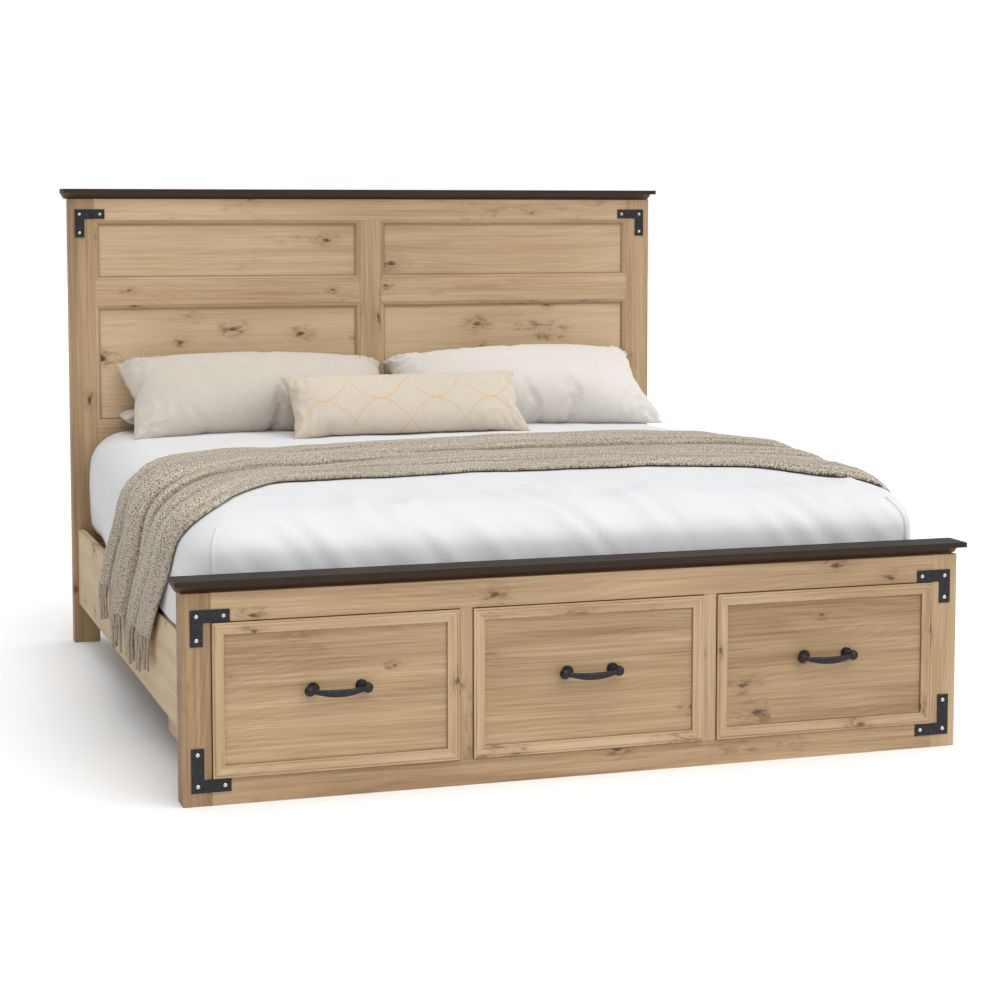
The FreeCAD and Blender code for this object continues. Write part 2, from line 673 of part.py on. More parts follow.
def corner_hardware():
    """Six brackets with three screws each, on the corners of the footboard and headboard."""
    brackets = []
    screws = []
    foot_edge = "(foot_width / 2 - bracket_edge)"
    head_edge = "(head_width / 2 - bracket_edge)"
    foot_top = f"({FOOT_TOP} - bracket_drop_foot)"
    head_top = f"({HEAD_TOP} - bracket_drop_head)"
    for name, edge, corner_z, face, tall, right, high in (
        ("foot_top_left", foot_edge, foot_top, FOOT_FRONT, "bracket_tall_top", False, True),
        ("foot_top_right", foot_edge, foot_top, FOOT_FRONT, "bracket_tall_top", True, True),
        ("foot_low_left", foot_edge, "bracket_lift", FOOT_FRONT, "bracket_tall_low", False, False),
        ("foot_low_right", foot_edge, "bracket_lift", FOOT_FRONT, "bracket_tall_low", True, False),
        ("head_top_left", head_edge, head_top, HEAD_FRONT, "bracket_tall_head", False, True),
        ("head_top_right", head_edge, head_top, HEAD_FRONT, "bracket_tall_head", True, True),
    ):
        x_way = "-" if right else "+"
        z_way = "-" if high else "+"
        corner_x = edge if right else f"-{edge}"
        plate = bracket("bracket_" + name, tall)
        # an L cannot be turned into its mirror image, so two of the four corners need a mirrored plate
        if right != high:
            mirror = doc.addObject("Part::Mirroring", f"bracket_{name}_mirror")
            mirror.Source = plate
            mirror.Normal = Vector(1, 0, 0)
            plate = mirror
        piece = group(f"bracket_{name}_placed", [plate])
        in_plane = Rotation(Vector(0, 0, 1), 180 if high else 0)
        piece.Placement = Placement(Vector(0, 0, 0), Rotation(Vector(1, 0, 0), 90).multiply(in_plane))
        move(piece, corner_x, face, corner_z)
        brackets.append(piece)
        for i, (across, up) in enumerate(screw_places(tall)):
            one = screw(f"screw_{name}_{i}")
            turn(one, Vector(1, 0, 0), 90)
            move(one, f"{corner_x} {x_way} ({across})", f"{face} - bracket_thick",
                 f"{corner_z} {z_way} ({up})")
            screws.append(one)
    keep(group("brackets", brackets), "corner_brackets")
    keep(group("screws", screws), "bracket_screws")


# ---- bedding ---------------------------------------------------------------------------------
def pillow(name, long, deep, thick, tilt, middle, y, z):
    """A closed cushion, rounded all over and leant back about its lower front edge."""
    radius = size(thick) * 0.46
    cushion = rounded(name + "_form", centred("0", long), ("0", deep), ("0", thick), radius)
    placed = group(name + "_placed", [cushion])
    turn(placed, Vector(1, 0, 0), size(tilt) if tilt else 0)
    move(placed, middle, y, z)
    return keep(placed, name)


def bedding():
    """Mattress, duvet, throw and pillows, as plain closed solids in their real places."""
    half = "mattress_width / 2"
    mattress_run = (MATTRESS_FOOT, MATTRESS_HEAD)
    keep(
        rounded("mattress_form", (f"-{half}", half), mattress_run, ("slat_top", MATTRESS_TOP),
                size("mattress_round")),
        "mattress",
    )
    # duvet: a tray upside down over the mattress, open at the head
    gap = "soft_gap"
    outer_run = (f"{MATTRESS_FOOT} - duvet_foot", f"{MATTRESS_HEAD}")
    outer = rounded("duvet_outer", (f"-{DUVET_HALF}", DUVET_HALF), outer_run, ("duvet_low", DUVET_TOP),
                    size("duvet_round"), (2, 6, 10))
    inner = rounded("duvet_inner", (f"-{half} - {gap}", f"{half} + {gap}"),
                    (f"{MATTRESS_FOOT} - {gap}", f"{MATTRESS_HEAD} + 50"),
                    ("duvet_low - 50", f"{MATTRESS_TOP} + {gap}"), size("mattress_round"), (2, 6, 10))
    duvet = doc.addObject("Part::Cut", "duvet_shell")
    duvet.Base = outer
    duvet.Tool = inner
    keep(duvet, "duvet")
    # throw: a band over the duvet, wider and further to the foot where it hangs down the sides
    throw_in = f"({DUVET_HALF} + throw_gap)"
    throw_out = f"({throw_in} + throw_thick)"
    throw_under = f"({DUVET_TOP} + {gap})"
    throw_top = f"({throw_under} + throw_thick)"
    long_run = (FOOT_FRONT, HEAD_FRONT)
    band_out = rounded("throw_outer", (f"-{throw_out}", throw_out), long_run, ("throw_low", throw_top),
                       size("duvet_round") + size("throw_thick"), (2, 6))
    longer_run = (f"{FOOT_FRONT} - 10", f"{HEAD_FRONT} + 10")
    band_in = rounded("throw_inner", (f"-{throw_in}", throw_in), longer_run,
                      ("throw_low - 50", throw_under), size("duvet_round"), (2, 6))
    band = doc.addObject("Part::Cut", "throw_band")
    band.Base = band_out
    band.Tool = band_in
    plan = doc.addObject("Sketcher::SketchObject", "throw_plan")
    closed_outline(plan, [
        ("1", "throw_front_side"), (f"{throw_out} * 0.35", "throw_front_mid"),
        (f"{throw_out} * 1.65", "throw_front_mid"), (f"{throw_out} * 2 - 1", "throw_front_side"),
        (f"{throw_out} * 2 - 1", "throw_back_side"), (f"{throw_out} * 1.65", "throw_back_mid"),
        (f"{throw_out} * 0.35", "throw_back_mid"), ("1", "throw_back_side"),
    ])
    column = doc.addObject("Part::Extrusion", "throw_column")
    column.Base = plan
    column.DirMode = "Custom"
    column.Dir = Vector(0, 0, 1)
    column.Solid = True
    bind(column, "LengthFwd", "head_height")
    move(column, f"-{throw_out}", FOOT_FRONT)
    cloth = doc.addObject("Part::Common", "throw_cloth")
    cloth.Base = band
    cloth.Tool = column
    keep(cloth, "throw")
    # pillows lean on the headboard; their lower front edges rest on the duvet
    side = "(pillow_long / 2 + pillow_apart)"
    pillow_y = f"({HEAD_FRONT} - pillow_reach)"
    for name, sign in (("pillow_left", "-"), ("pillow_right", "+")):
        pillow(name, "pillow_long", "pillow_deep", "pillow_thick", "pillow_tilt",
               f"pillow_shift {sign} {side}", pillow_y, f"{PILLOW_REST} - pillow_sink")
    pillow("pillow_under_left", "pillow_long", "under_deep", "under_thick", None,
           f"pillow_shift - {side} + under_shift", f"{HEAD_FRONT} - under_deep - 4", PILLOW_REST)
    pillow("pillow_lumbar", "lumbar_long", "lumbar_deep", "lumbar_thick", "lumbar_tilt", "0",
           f"{pillow_y} - lumbar_ahead", f"{PILLOW_REST} - lumbar_sink")


headboard()
footboard()
platform()
drawer_guides()
for index, where in enumerate(("left", "centre", "right")):
    drawer(where, index)
corner_hardware()
bedding()
doc.recompute()

# ---- checks and export -----------------------------------------------------------------------
for thing in doc.Objects:
    bad = {"Invalid", "Error"} & set(thing.State)
    assert not bad, f"{thing.Label}: {thing.State}"
for piece in nodes:
    assert not piece.Shape.isNull() and piece.Shape.isValid(), f"{piece.Label}: bad shape"
    assert piece.Shape.Volume > 0, f"{piece.Label}: no volume"
assert len(nodes) <= 60, len(nodes)

os.makedirs("parts", exist_ok=True)
for piece in nodes:
    piece.Shape.exportStep(f"parts/{piece.Label}.step")
    box = piece.Shape.BoundBox
    print(f"{piece.Label:34s} solids {len(piece.Shape.Solids):3d}  x {box.XMin:8.1f} {box.XMax:8.1f}"
          f"  y {box.YMin:8.1f} {box.YMax:8.1f}  z {box.ZMin:7.1f} {box.ZMax:7.1f}")
print(len(nodes), "pieces")
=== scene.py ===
import json
import math
import random

import bpy
import numpy as np
from mathutils import Matrix, Vector, noise
from mathutils.bvhtree import BVHTree


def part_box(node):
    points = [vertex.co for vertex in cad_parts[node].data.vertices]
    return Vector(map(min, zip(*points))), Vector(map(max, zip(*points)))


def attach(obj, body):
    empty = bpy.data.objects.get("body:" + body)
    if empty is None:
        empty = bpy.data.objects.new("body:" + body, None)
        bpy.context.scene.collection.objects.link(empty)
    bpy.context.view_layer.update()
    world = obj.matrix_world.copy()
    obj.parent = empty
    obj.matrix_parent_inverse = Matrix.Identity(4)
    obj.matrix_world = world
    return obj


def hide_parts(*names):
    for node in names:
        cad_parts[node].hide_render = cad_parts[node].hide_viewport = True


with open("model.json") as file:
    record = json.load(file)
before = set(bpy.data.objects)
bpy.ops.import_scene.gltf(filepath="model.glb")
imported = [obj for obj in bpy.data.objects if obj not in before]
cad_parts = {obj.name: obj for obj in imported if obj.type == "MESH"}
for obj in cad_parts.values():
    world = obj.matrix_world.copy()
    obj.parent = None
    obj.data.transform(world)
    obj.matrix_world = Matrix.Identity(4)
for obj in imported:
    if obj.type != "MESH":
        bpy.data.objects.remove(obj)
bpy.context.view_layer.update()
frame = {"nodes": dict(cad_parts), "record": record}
nodes = frame["nodes"]
scene = bpy.context.scene
FRAME_BODY = "frame"
# outputs of Blender's texture coordinate and geometry nodes
UV, OBJECT, NORMAL = 2, 3, 1


# ---- small helpers ---------------------------------------------------------------------------
def rgb(red, green, blue):
    """An sRGB colour, 0 to 255, as the linear RGBA that shaders take."""
    def linear(value):
        value /= 255
        return value / 12.92 if value <= 0.04045 else ((value + 0.055) / 1.055) ** 2.4
    return (linear(red), linear(green), linear(blue), 1.0)


def smooth(value, low, high):
    """0 below low, 1 above high, and a smooth step between."""
    t = np.clip((np.asarray(value, float) - low) / (high - low), 0, 1)
    return t * t * (3 - 2 * t)


def mesh_object(name, points, faces, uv=None):
    """A smooth-shaded mesh object in the scene; uv gives one pair for each point."""
    mesh = bpy.data.meshes.new(name)
    mesh.from_pydata([tuple(map(float, p)) for p in points], [], [tuple(map(int, f)) for f in faces])
    if uv is not None:
        layer = mesh.uv_layers.new(name="cloth")
        corner = np.zeros(len(mesh.loops), np.int32)
        mesh.loops.foreach_get("vertex_index", corner)
        layer.data.foreach_set("uv", np.asarray(uv, np.float32)[corner].ravel())
    mesh.polygons.foreach_set("use_smooth", [True] * len(mesh.polygons))
    mesh.update()
    piece = bpy.data.objects.new(name, mesh)
    scene.collection.objects.link(piece)
    return piece


def points_of(piece):
    """The mesh's points as an array."""
    flat = np.zeros(len(piece.data.vertices) * 3)
    piece.data.vertices.foreach_get("co", flat)
    return flat.reshape(-1, 3)


def set_points(piece, points):
    """Move the mesh's points."""
    piece.data.vertices.foreach_set("co", np.asarray(points, float).ravel())
    piece.data.update()


def grid_faces(rows, columns):
    """Quads of a rows x columns grid of points stored row by row."""
    faces = []
    for r in range(rows - 1):
        for c in range(columns - 1):
            a = r * columns + c
            faces.append((a + columns, a + columns + 1, a + 1, a))
    return faces


def field(points, scale, seed, octaves=3):
    """Smooth noise at each point, about -1 to 1."""
    shift = Vector((seed * 17.3, seed * 5.1, seed * 11.7))
    stretched = np.asarray(points) * np.asarray(scale)
    return np.array([noise.fractal(Vector(p) + shift, 1.0, 2.0, octaves) for p in stretched])


def finish_piece(piece, material, slot, *replaced):
    """Give a piece its material and its body, and hide the CAD nodes that it stands for; slot is not
    used.
    """
    piece.data.materials.clear()
    piece.data.materials.append(material)
    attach(piece, FRAME_BODY)
    if replaced:
        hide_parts(*replaced)


# ---- shader helpers --------------------------------------------------------------------------
class Paint:
    """A material being built, with short names for the shader nodes that it is built from."""

    def __init__(self, name, **settings):
        self.material = bpy.data.materials.new(name)
        self.material.use_nodes = True
        self.tree = self.material.node_tree
        self.shader = self.tree.nodes["Principled BSDF"]
        for key, value in settings.items():
            self.set(key, value)

    @classmethod
    def again(cls, material):
        """Go on building a material that has been made already."""
        paint = cls.__new__(cls)
        paint.material = material
        paint.tree = material.node_tree
        paint.shader = paint.tree.nodes["Principled BSDF"]
        return paint

    def set(self, key, value):
        """Set or link one of the shader's own sockets, named with spaces as underscores."""
        socket = self.shader.inputs[key.replace("_", " ")]
        if isinstance(value, bpy.types.NodeSocket):
            self.tree.links.new(value, socket)
        else:
            socket.default_value = value

    def add(self, kind, inputs=(), out=0, **settings):
        """Put in a shader node, set or link its inputs, and return one output."""
        node = self.tree.nodes.new("ShaderNode" + kind)
        for key, value in settings.items():
            setattr(node, key, value)
        for key, value in dict(inputs).items():
            if isinstance(value, bpy.types.NodeSocket):
                self.tree.links.new(value, node.inputs[key])
            else:
                node.inputs[key].default_value = value
        return node.outputs[out]

    def math(self, operation, a, b=0.0, c=0.0, clamp=False):
        """One step of arithmetic on up to three values."""
        return self.add("Math", {0: a, 1: b, 2: c}, operation=operation, use_clamp=clamp)

    def step(self, value, low, high):
        """A smooth step from 0 to 1, or from 1 to 0 where low is above high."""
        return self.add("MapRange", {"Value": value, "From Min": low, "From Max": high},
                        interpolation_type="SMOOTHSTEP")

    def noise(self, vector, scale, detail=3.0, roughness=0.5):
        """Noise from 0 to 1; scale is per metre and may differ along each axis."""
        stretched = self.add("VectorMath", {0: vector, 1: scale}, operation="MULTIPLY")
        settings = {"Vector": stretched, "Scale": 1.0, "Detail": detail, "Roughness": roughness}
        return self.add("TexNoise", settings)

    def split(self, vector):
        """The three parts of a vector."""
        node = self.tree.nodes.new("ShaderNodeSeparateXYZ")
        self.tree.links.new(vector, node.inputs[0])
        return node.outputs

    def spread(self, value, low, high):
        """Stretch a value from 0..1 to low..high."""
        return self.add("MapRange", {"Value": value, "To Min": low, "To Max": high})

    def vary(self, value, *parts):
        """Add each (noise, amount) to a value, with the noise centred on nought."""
        for part, amount in parts:
            value = self.math("MULTIPLY_ADD", self.math("SUBTRACT", part, 0.5), amount, value)
        return value

    def own_colour(self):
        """The output that gives the shader its colour so far."""
        return self.shader.inputs["Base Color"].links[0].from_socket

    def mix(self, factor, a, b):
        """Mix two colours."""
        return self.add("Mix", {0: factor, 6: a, 7: b}, out=2, data_type="RGBA")

    def ramp(self, value, stops):
        """A colour ramp through (place, colour) stops."""
        node = self.tree.nodes.new("ShaderNodeValToRGB")
        elements = node.color_ramp.elements
        while len(elements) < len(stops):
            elements.new(0.5)
        for element, (place, colour) in zip(elements, stops):
            element.position = place
            element.color = colour
        self.tree.links.new(value, node.inputs[0])
        return node.outputs[0]

    def bump(self, height, distance, strength):
        """Shade the surface as if it rose by a distance in metres from height 0 to height 1."""
        settings = {"Height": height, "Distance": distance, "Strength": strength}
        self.set("Normal", self.add("Bump", settings))


# ---- wood ------------------------------------------------------------------------------------
def oak_coordinates(paint, grain, seed, opening=None):
    """(along, across, depth) of the grain, in metres, shifted by the seed.

    opening is (|x| of the centre, z of the centre, half width, half height) of a mitred frame,
    whose upright strips have upright grain.
    """
    x, y, z = paint.split(paint.add("TexCoord", out=OBJECT))
    order = {"X": (x, z, y), "Y": (y, z, x), "Z": (z, x, y)}
    along, across, depth = order[grain]
    if opening:
        centre_x, centre_z, half_x, half_z = opening
        from_side = paint.math("ABSOLUTE", paint.math("SUBTRACT", paint.math("ABSOLUTE", x), centre_x))
        from_level = paint.math("ABSOLUTE", paint.math("SUBTRACT", z, centre_z))
        upright = paint.math("LESS_THAN", paint.math("SUBTRACT", half_x, from_side),
                             paint.math("SUBTRACT", half_z, from_level))
        along = paint.add("Mix", {0: upright, 2: x, 3: z})
        across = paint.add("Mix", {0: upright, 2: z, 3: x})
    return paint.add("VectorMath", {
        0: paint.add("CombineXYZ", {0: along, 1: across, 2: depth}),
        1: (seed * 3.17, seed * 1.91, seed * 0.83),
    }, operation="ADD")


def oak(name, grain, seed, tone=0.0, opening=None, recess=None):
    """Oiled knotty oak: fine streaks along the grain, soft figure, small knots and dark smudges.

    recess is a pair of y places, between which the wood is darkened with painted shade, as if in shadow.
    """
    paint = Paint(name, IOR=1.45)
    p = oak_coordinates(paint, grain, seed, opening)
    # knots: one to a cell, in about a third of the cells, with a ragged outline
    ragged = paint.noise(p, (28.0, 75.0, 75.0), 4.0, 0.6)
    knot_place = paint.add("VectorMath", {0: p, 1: (4.6, 9.0, 0.0)}, operation="MULTIPLY")
    knot_place = paint.add("VectorMath", {
        0: knot_place, 1: paint.math("MULTIPLY", ragged, 0.16)}, operation="ADD")
    cells = paint.tree.nodes.new("ShaderNodeTexVoronoi")
    cells.voronoi_dimensions = "2D"
    cells.inputs["Scale"].default_value = 1.0
    paint.tree.links.new(knot_place, cells.inputs["Vector"])
    pick = paint.tree.nodes.new("ShaderNodeSeparateColor")
    paint.tree.links.new(cells.outputs["Color"], pick.inputs[0])
    present = paint.step(pick.outputs[0], 0.60, 0.66)
    size = paint.spread(pick.outputs[1], 0.5, 1.4)
    far = paint.math("DIVIDE", cells.outputs["Distance"], size)
    core = paint.math("MULTIPLY", paint.step(far, 0.075, 0.02), present)
    halo = paint.math("MULTIPLY", paint.step(far, 0.34, 0.0), present)
    # figure: soft bands that bend round the knots, then streaks of three finenesses
    _, across, depth = paint.split(p)
    sway = paint.noise(p, (1.3, 6.0, 6.0), 2.0)
    level = paint.math("ADD", paint.math("MULTIPLY", across, 70.0), paint.math("MULTIPLY", depth, 40.0))
    level = paint.math("ADD", level, paint.math("MULTIPLY", sway, 14.0))
    level = paint.math("ADD", level, paint.math("MULTIPLY", halo, 1.6))
    ring = paint.math("MULTIPLY", paint.math("PINGPONG", level, 0.5), 2.0)
    fine = paint.noise(p, (6.0, 520.0, 520.0), 3.0, 0.7)
    streak = paint.noise(p, (2.6, 150.0, 150.0), 4.0, 0.6)
    broad = paint.noise(p, (1.2, 26.0, 26.0), 3.0)
    patch = paint.noise(p, (1.4, 4.0, 4.0), 2.0)
    value = paint.math("MULTIPLY_ADD", ring, 0.07, 0.425 + tone)
    value = paint.vary(value, (fine, 0.38), (streak, 0.58), (broad, 0.48), (patch, 0.50))
    value = paint.math("ADD", value, 0.0, clamp=True)
    colour = paint.ramp(value, [
        (0.05, rgb(128, 98, 68)), (0.30, rgb(163, 134, 99)), (0.50, rgb(184, 156, 120)),
        (0.72, rgb(200, 174, 139)), (1.0, rgb(214, 191, 158)),
    ])
    # dark flecks crowd round the knots, and lie in loose clusters here and there
    fleck = paint.noise(p, (24.0, 62.0, 62.0), 5.0, 0.68)
    where = paint.step(paint.noise(p, (2.6, 8.0, 8.0), 2.0), 0.60, 0.76)
    near = paint.math("MAXIMUM", paint.math("MULTIPLY", halo, 1.25), paint.math("MULTIPLY", where, 0.85))
    dark = paint.math("MULTIPLY", near, paint.step(fleck, 0.47, 0.66))
    soft = paint.math("MULTIPLY", near, paint.math("MULTIPLY", streak, 0.45))
    colour = paint.mix(soft, colour, rgb(140, 108, 76))
    colour = paint.mix(paint.math("MULTIPLY", dark, 0.80), colour, rgb(104, 74, 50))
    colour = paint.mix(paint.math("MULTIPLY", core, 0.80), colour, rgb(70, 49, 35))
    if recess:
        # painted shade: the wood between the recess places turns darker, standing in for the shadow in
        # the moulding's inner step
        from_front = paint.split(paint.add("TexCoord", out=OBJECT))[1]
        painted_recess_shade = paint.step(from_front, recess[0], recess[1])
        colour = paint.mix(paint.math("MULTIPLY", painted_recess_shade, 0.72), colour, rgb(92, 68, 46))
    paint.set("Base_Color", colour)
    paint.set("Roughness", paint.spread(fine, 0.52, 0.70))
    height = paint.math("ADD", paint.math("MULTIPLY", fine, 0.6), paint.math("MULTIPLY", streak, 0.4))
    paint.bump(paint.math("SUBTRACT", height, paint.math("MULTIPLY", core, 0.5)), 0.0006, 0.6)
    return paint.material


def stained(name, light, dark, grain, seed, scale=1.0):
    """Plain straight-grained timber between two colours."""
    paint = Paint(name, IOR=1.45, Specular_IOR_Level=0.25)
    p = oak_coordinates(paint, grain, seed)
    fine = paint.noise(p, (8.0 * scale, 360.0 * scale, 360.0 * scale), 4.0, 0.6)
    streak = paint.noise(p, (1.4 * scale, 60.0 * scale, 60.0 * scale), 3.0)
    value = paint.math("ADD", paint.math("MULTIPLY", fine, 0.45), paint.math("MULTIPLY", streak, 0.55))
    paint.set("Base_Color", paint.ramp(value, [(0.34, dark), (0.66, light)]))
    paint.set("Roughness", paint.spread(fine, 0.54, 0.70))
    paint.bump(fine, 0.0005, 0.6)
    return paint.material


def cap_timber(name, seed):
    """Dark stained timber, with painted light on the faces that look down, lifting them out of their
    shade.
    """
    material = stained(name, rgb(58, 46, 38), rgb(37, 29, 23), "X", seed)
    paint = Paint.again(material)
    facing_up = paint.split(paint.add("NewGeometry", out=NORMAL))[2]
    # painted light: faces that look down are mixed towards a lighter brown, standing in for light they
    # miss
    painted_underside_light = paint.math("MULTIPLY", paint.step(facing_up, -0.08, -0.22), 0.8)
    paint.set("Base_Color", paint.mix(painted_underside_light, paint.own_colour(), rgb(122, 98, 80)))
    return material


# ---- metal -----------------------------------------------------------------------------------
def forged(name, colour, metallic, roughness, scale, depth):
    """Metal with a slightly uneven surface, worn lighter where the unevenness stands up."""
    paint = Paint(name, Metallic=metallic)
    place = paint.add("TexCoord", out=OBJECT)
    dents = paint.noise(place, (scale, scale, scale), 3.0)
    specks = paint.noise(place, (scale * 9, scale * 9, scale * 9), 2.0)
    worn = tuple(min(1.0, c * 2.1 + 0.01) for c in colour[:3]) + (1.0,)
    raised = paint.step(paint.math("MULTIPLY", dents, specks), 0.24, 0.42)
    paint.set("Base_Color", paint.mix(raised, colour, worn))
    paint.set("Roughness", paint.spread(dents, roughness - 0.08, roughness + 0.12))
    paint.bump(paint.math("ADD", dents, paint.math("MULTIPLY", specks, 0.2)), depth, 0.5)
    return paint.material


# ---- cloth -----------------------------------------------------------------------------------
def woven(name, light, dark, thread, slub, depth, sheen=0.25, uv=True):
    """Plain weave: two crossing sets of threads, with thicker and thinner stretches in both.

    thread is the width of one, slub how uneven they are, and depth how far they stand up.
    """
    paint = Paint(name, Roughness=0.88, Sheen_Weight=sheen, Sheen_Roughness=0.5, Specular_IOR_Level=0.2)
    place = paint.add("TexCoord", out=UV if uv else OBJECT)
    waves = {"Vector": place, "Scale": 1 / thread / 20, "Distortion": 0.6, "Detail": 1.0}
    warp = paint.add("TexWave", waves, out=1, bands_direction="X")
    weft = paint.add("TexWave", waves, out=1, bands_direction="Y")
    thick = paint.noise(place, (26.0, 520.0, 520.0), 3.0)
    thin = paint.noise(place, (520.0, 26.0, 520.0), 3.0)
    blotch = paint.noise(place, (5.0, 5.0, 5.0), 2.0)
    slubs = paint.math("MULTIPLY", paint.math("ADD", thick, thin), 0.5)
    value = paint.math("MULTIPLY_ADD", paint.math("SUBTRACT", slubs, 0.5), slub * 2.0, 0.5)
    uneven = paint.math("MULTIPLY", paint.math("SUBTRACT", blotch, 0.5), 0.35)
    value = paint.math("ADD", value, uneven, clamp=True)
    paint.set("Base_Color", paint.ramp(value, [(0.15, dark), (0.85, light)]))
    threads = paint.math("MULTIPLY", warp, weft)
    paint.bump(paint.math("ADD", threads, paint.math("MULTIPLY", slubs, 1.2)), depth, 0.5)
    return paint.material


# valleys between the throw's folds, which are also darkened with painted shade: each one's place across
# the cloth, and how far it wanders
THROW_FOLDS = ((0.17, 0.02), (0.31, -0.03), (0.45, 0.025), (0.60, 0.0), (0.74, -0.02), (0.87, 0.03))
FOLD_WAVE, FOLD_PHASE = 2.3, 9.0


def knitted(name):
    """The throw: thick mixed yarn in slanting stitches, light and dark flecks of a few millimetres."""
    paint = Paint(name, Roughness=0.95, Sheen_Weight=0.3, Sheen_Roughness=0.6, Specular_IOR_Level=0.12)
    place = paint.add("TexCoord", out=UV)
    bend = paint.math("MULTIPLY", paint.noise(place, (20.0, 20.0, 0.0), 2.0), 0.012)
    bent = paint.add("VectorMath", {0: place, 1: bend}, operation="ADD")
    stitches = paint.add("VectorMath", {0: bent, 1: (250.0, 150.0, 0.0)}, operation="MULTIPLY")
    loops = paint.add("TexVoronoi", {"Vector": stitches, "Scale": 1.0, "Randomness": 0.75},
                      voronoi_dimensions="2D")
    yarn = paint.noise(bent, (190.0, 330.0, 0.0), 3.0, 0.7)
    clumps = paint.noise(bent, (135.0, 42.0, 0.0), 2.0, 0.6)
    rows = paint.noise(place, (3.0, 60.0, 0.0), 2.0)
    bands = paint.step(paint.noise(place, (0.8, 13.0, 0.0), 1.0), 0.42, 0.58)
    depth = paint.math("MULTIPLY_ADD", bands, 0.80, 0.70)
    value = paint.math("MULTIPLY", paint.math("SUBTRACT", 0.42, loops), depth)
    value = paint.vary(paint.math("ADD", value, 0.5328), (yarn, 0.95), (rows, 0.65), (clumps, 0.72))
    # painted shade: the colour turns darker down in the valleys between the folds, as if in shadow
    along, v, _ = paint.split(place)
    for middle, drift in THROW_FOLDS:
        turn = paint.math("MULTIPLY_ADD", along, FOLD_WAVE, middle * FOLD_PHASE)
        centre = paint.math("MULTIPLY_ADD", paint.math("SINE", turn), drift, middle)
        gap = paint.math("ABSOLUTE", paint.math("SUBTRACT", v, centre))
        value = paint.math("MULTIPLY_ADD", paint.step(gap, 0.030, 0.004), -0.24, value)
    paint.set("Base_Color", paint.ramp(value, [
        (0.10, rgb(88, 75, 58)), (0.34, rgb(137, 122, 101)),
        (0.58, rgb(180, 166, 145)), (0.90, rgb(220, 209, 191)),
    ]))
    paint.bump(paint.math("SUBTRACT", paint.math("MULTIPLY", yarn, 0.5), loops), 0.0035, 0.8)
    return paint.material


# ---- the CAD nodes that stay, each with its material -----------------------------------------
# words in the names of timber whose grain runs up the bed or along it
UPRIGHT = ("stile", "post", "dividers", "legs")
LENGTHWISE = ("side_rail", "ledgers", "beam", "drawer_sides", "guide_panels")
# timber that is lighter or darker than its neighbours
TONES = {
    "footboard_post_left": -0.31, "footboard_post_right": 0.10, "footboard_bottom_rail": -0.06,
    "headboard_stile_left": -0.18, "headboard_stile_right": -0.06, "headboard_top_rail": 0.07,
    "left_drawer_front": -0.08, "centre_drawer_front": -0.03, "right_drawer_front": -0.19,
    "left_drawer_moulding": 0.04, "centre_drawer_moulding": 0.04, "right_drawer_moulding": 0.02,
    "side_rail_left": 0.26, "headboard_upper_panels": 0.09, "headboard_lower_panels": 0.24,
    "footboard_top_rail": -0.06,
}


def grain_of(name):
    """The direction of the grain in a timber node."""
    if any(word in name for word in UPRIGHT):
        return "Z"
    return "Y" if any(word in name for word in LENGTHWISE) else "X"


def frame_opening(name):
    """Where a mitred frame lies: (|x| of its centre, z of its centre, half width, half height)."""
    low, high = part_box(name)
    if name.startswith("headboard"):
        inner = nodes["headboard_centre_stile"].data
        low = Vector((max(v.co.x for v in inner.vertices), low.y, low.z))
    centre = (low + high) / 2
    return (abs(centre.x), centre.z, (high.x - low.x) / 2, (high.z - low.z) / 2)


def dress(name, material):
    """Give a CAD node one material."""
    mesh = nodes[name].data
    mesh.materials.clear()
    mesh.materials.append(material)


def dress_frame():
    """Materials for every CAD node that stays in view."""
    plain_timber = {
        "pine": (rgb(214, 188, 148), rgb(183, 152, 110), 0.6),
        "drawer_ply": (rgb(208, 184, 148), rgb(186, 158, 120), 0.5),
    }
    black = forged("black_iron", rgb(38, 38, 41), 0.55, 0.46, 130.0, 0.0004)
    silver = forged("screw_steel", rgb(190, 190, 188), 1.0, 0.26, 400.0, 0.0001)
    zinc = forged("slide_zinc", rgb(178, 180, 184), 1.0, 0.34, 60.0, 0.0001)
    coated = forged("plate_black", rgb(40, 40, 42), 0.2, 0.5, 300.0, 0.0002)
    slots = {s["node"]: s["material_slot"] for s in frame["record"]["subparts"]}
    metal = {"black_iron": black, "screw_steel": silver, "slide_steel": zinc, "plate_steel": coated}
    for count, (name, slot) in enumerate(sorted(slots.items())):
        if slot in metal:
            dress(name, metal[slot])
        elif slot == "dark_cap":
            dress(name, cap_timber(name + "_wood", count))
        elif slot in plain_timber:
            light, dark, scale = plain_timber[slot]
            dress(name, stained(name + "_wood", light, dark, grain_of(name), count, scale))
        elif slot == "oak":
            opening = recess = None
            if "moulding" in name:
                opening = frame_opening(name)
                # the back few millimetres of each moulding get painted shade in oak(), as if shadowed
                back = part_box(name)[1].y
                recess = (back - 0.0062, back - 0.0030)
            tone = 0.04 * math.sin(count * 2.4) + (0.03 if name.startswith("headboard") else -0.02)
            tone += TONES.get(name, 0.0)
            dress(name, oak(name + "_wood", grain_of(name), count + 1.0, tone, opening, recess))


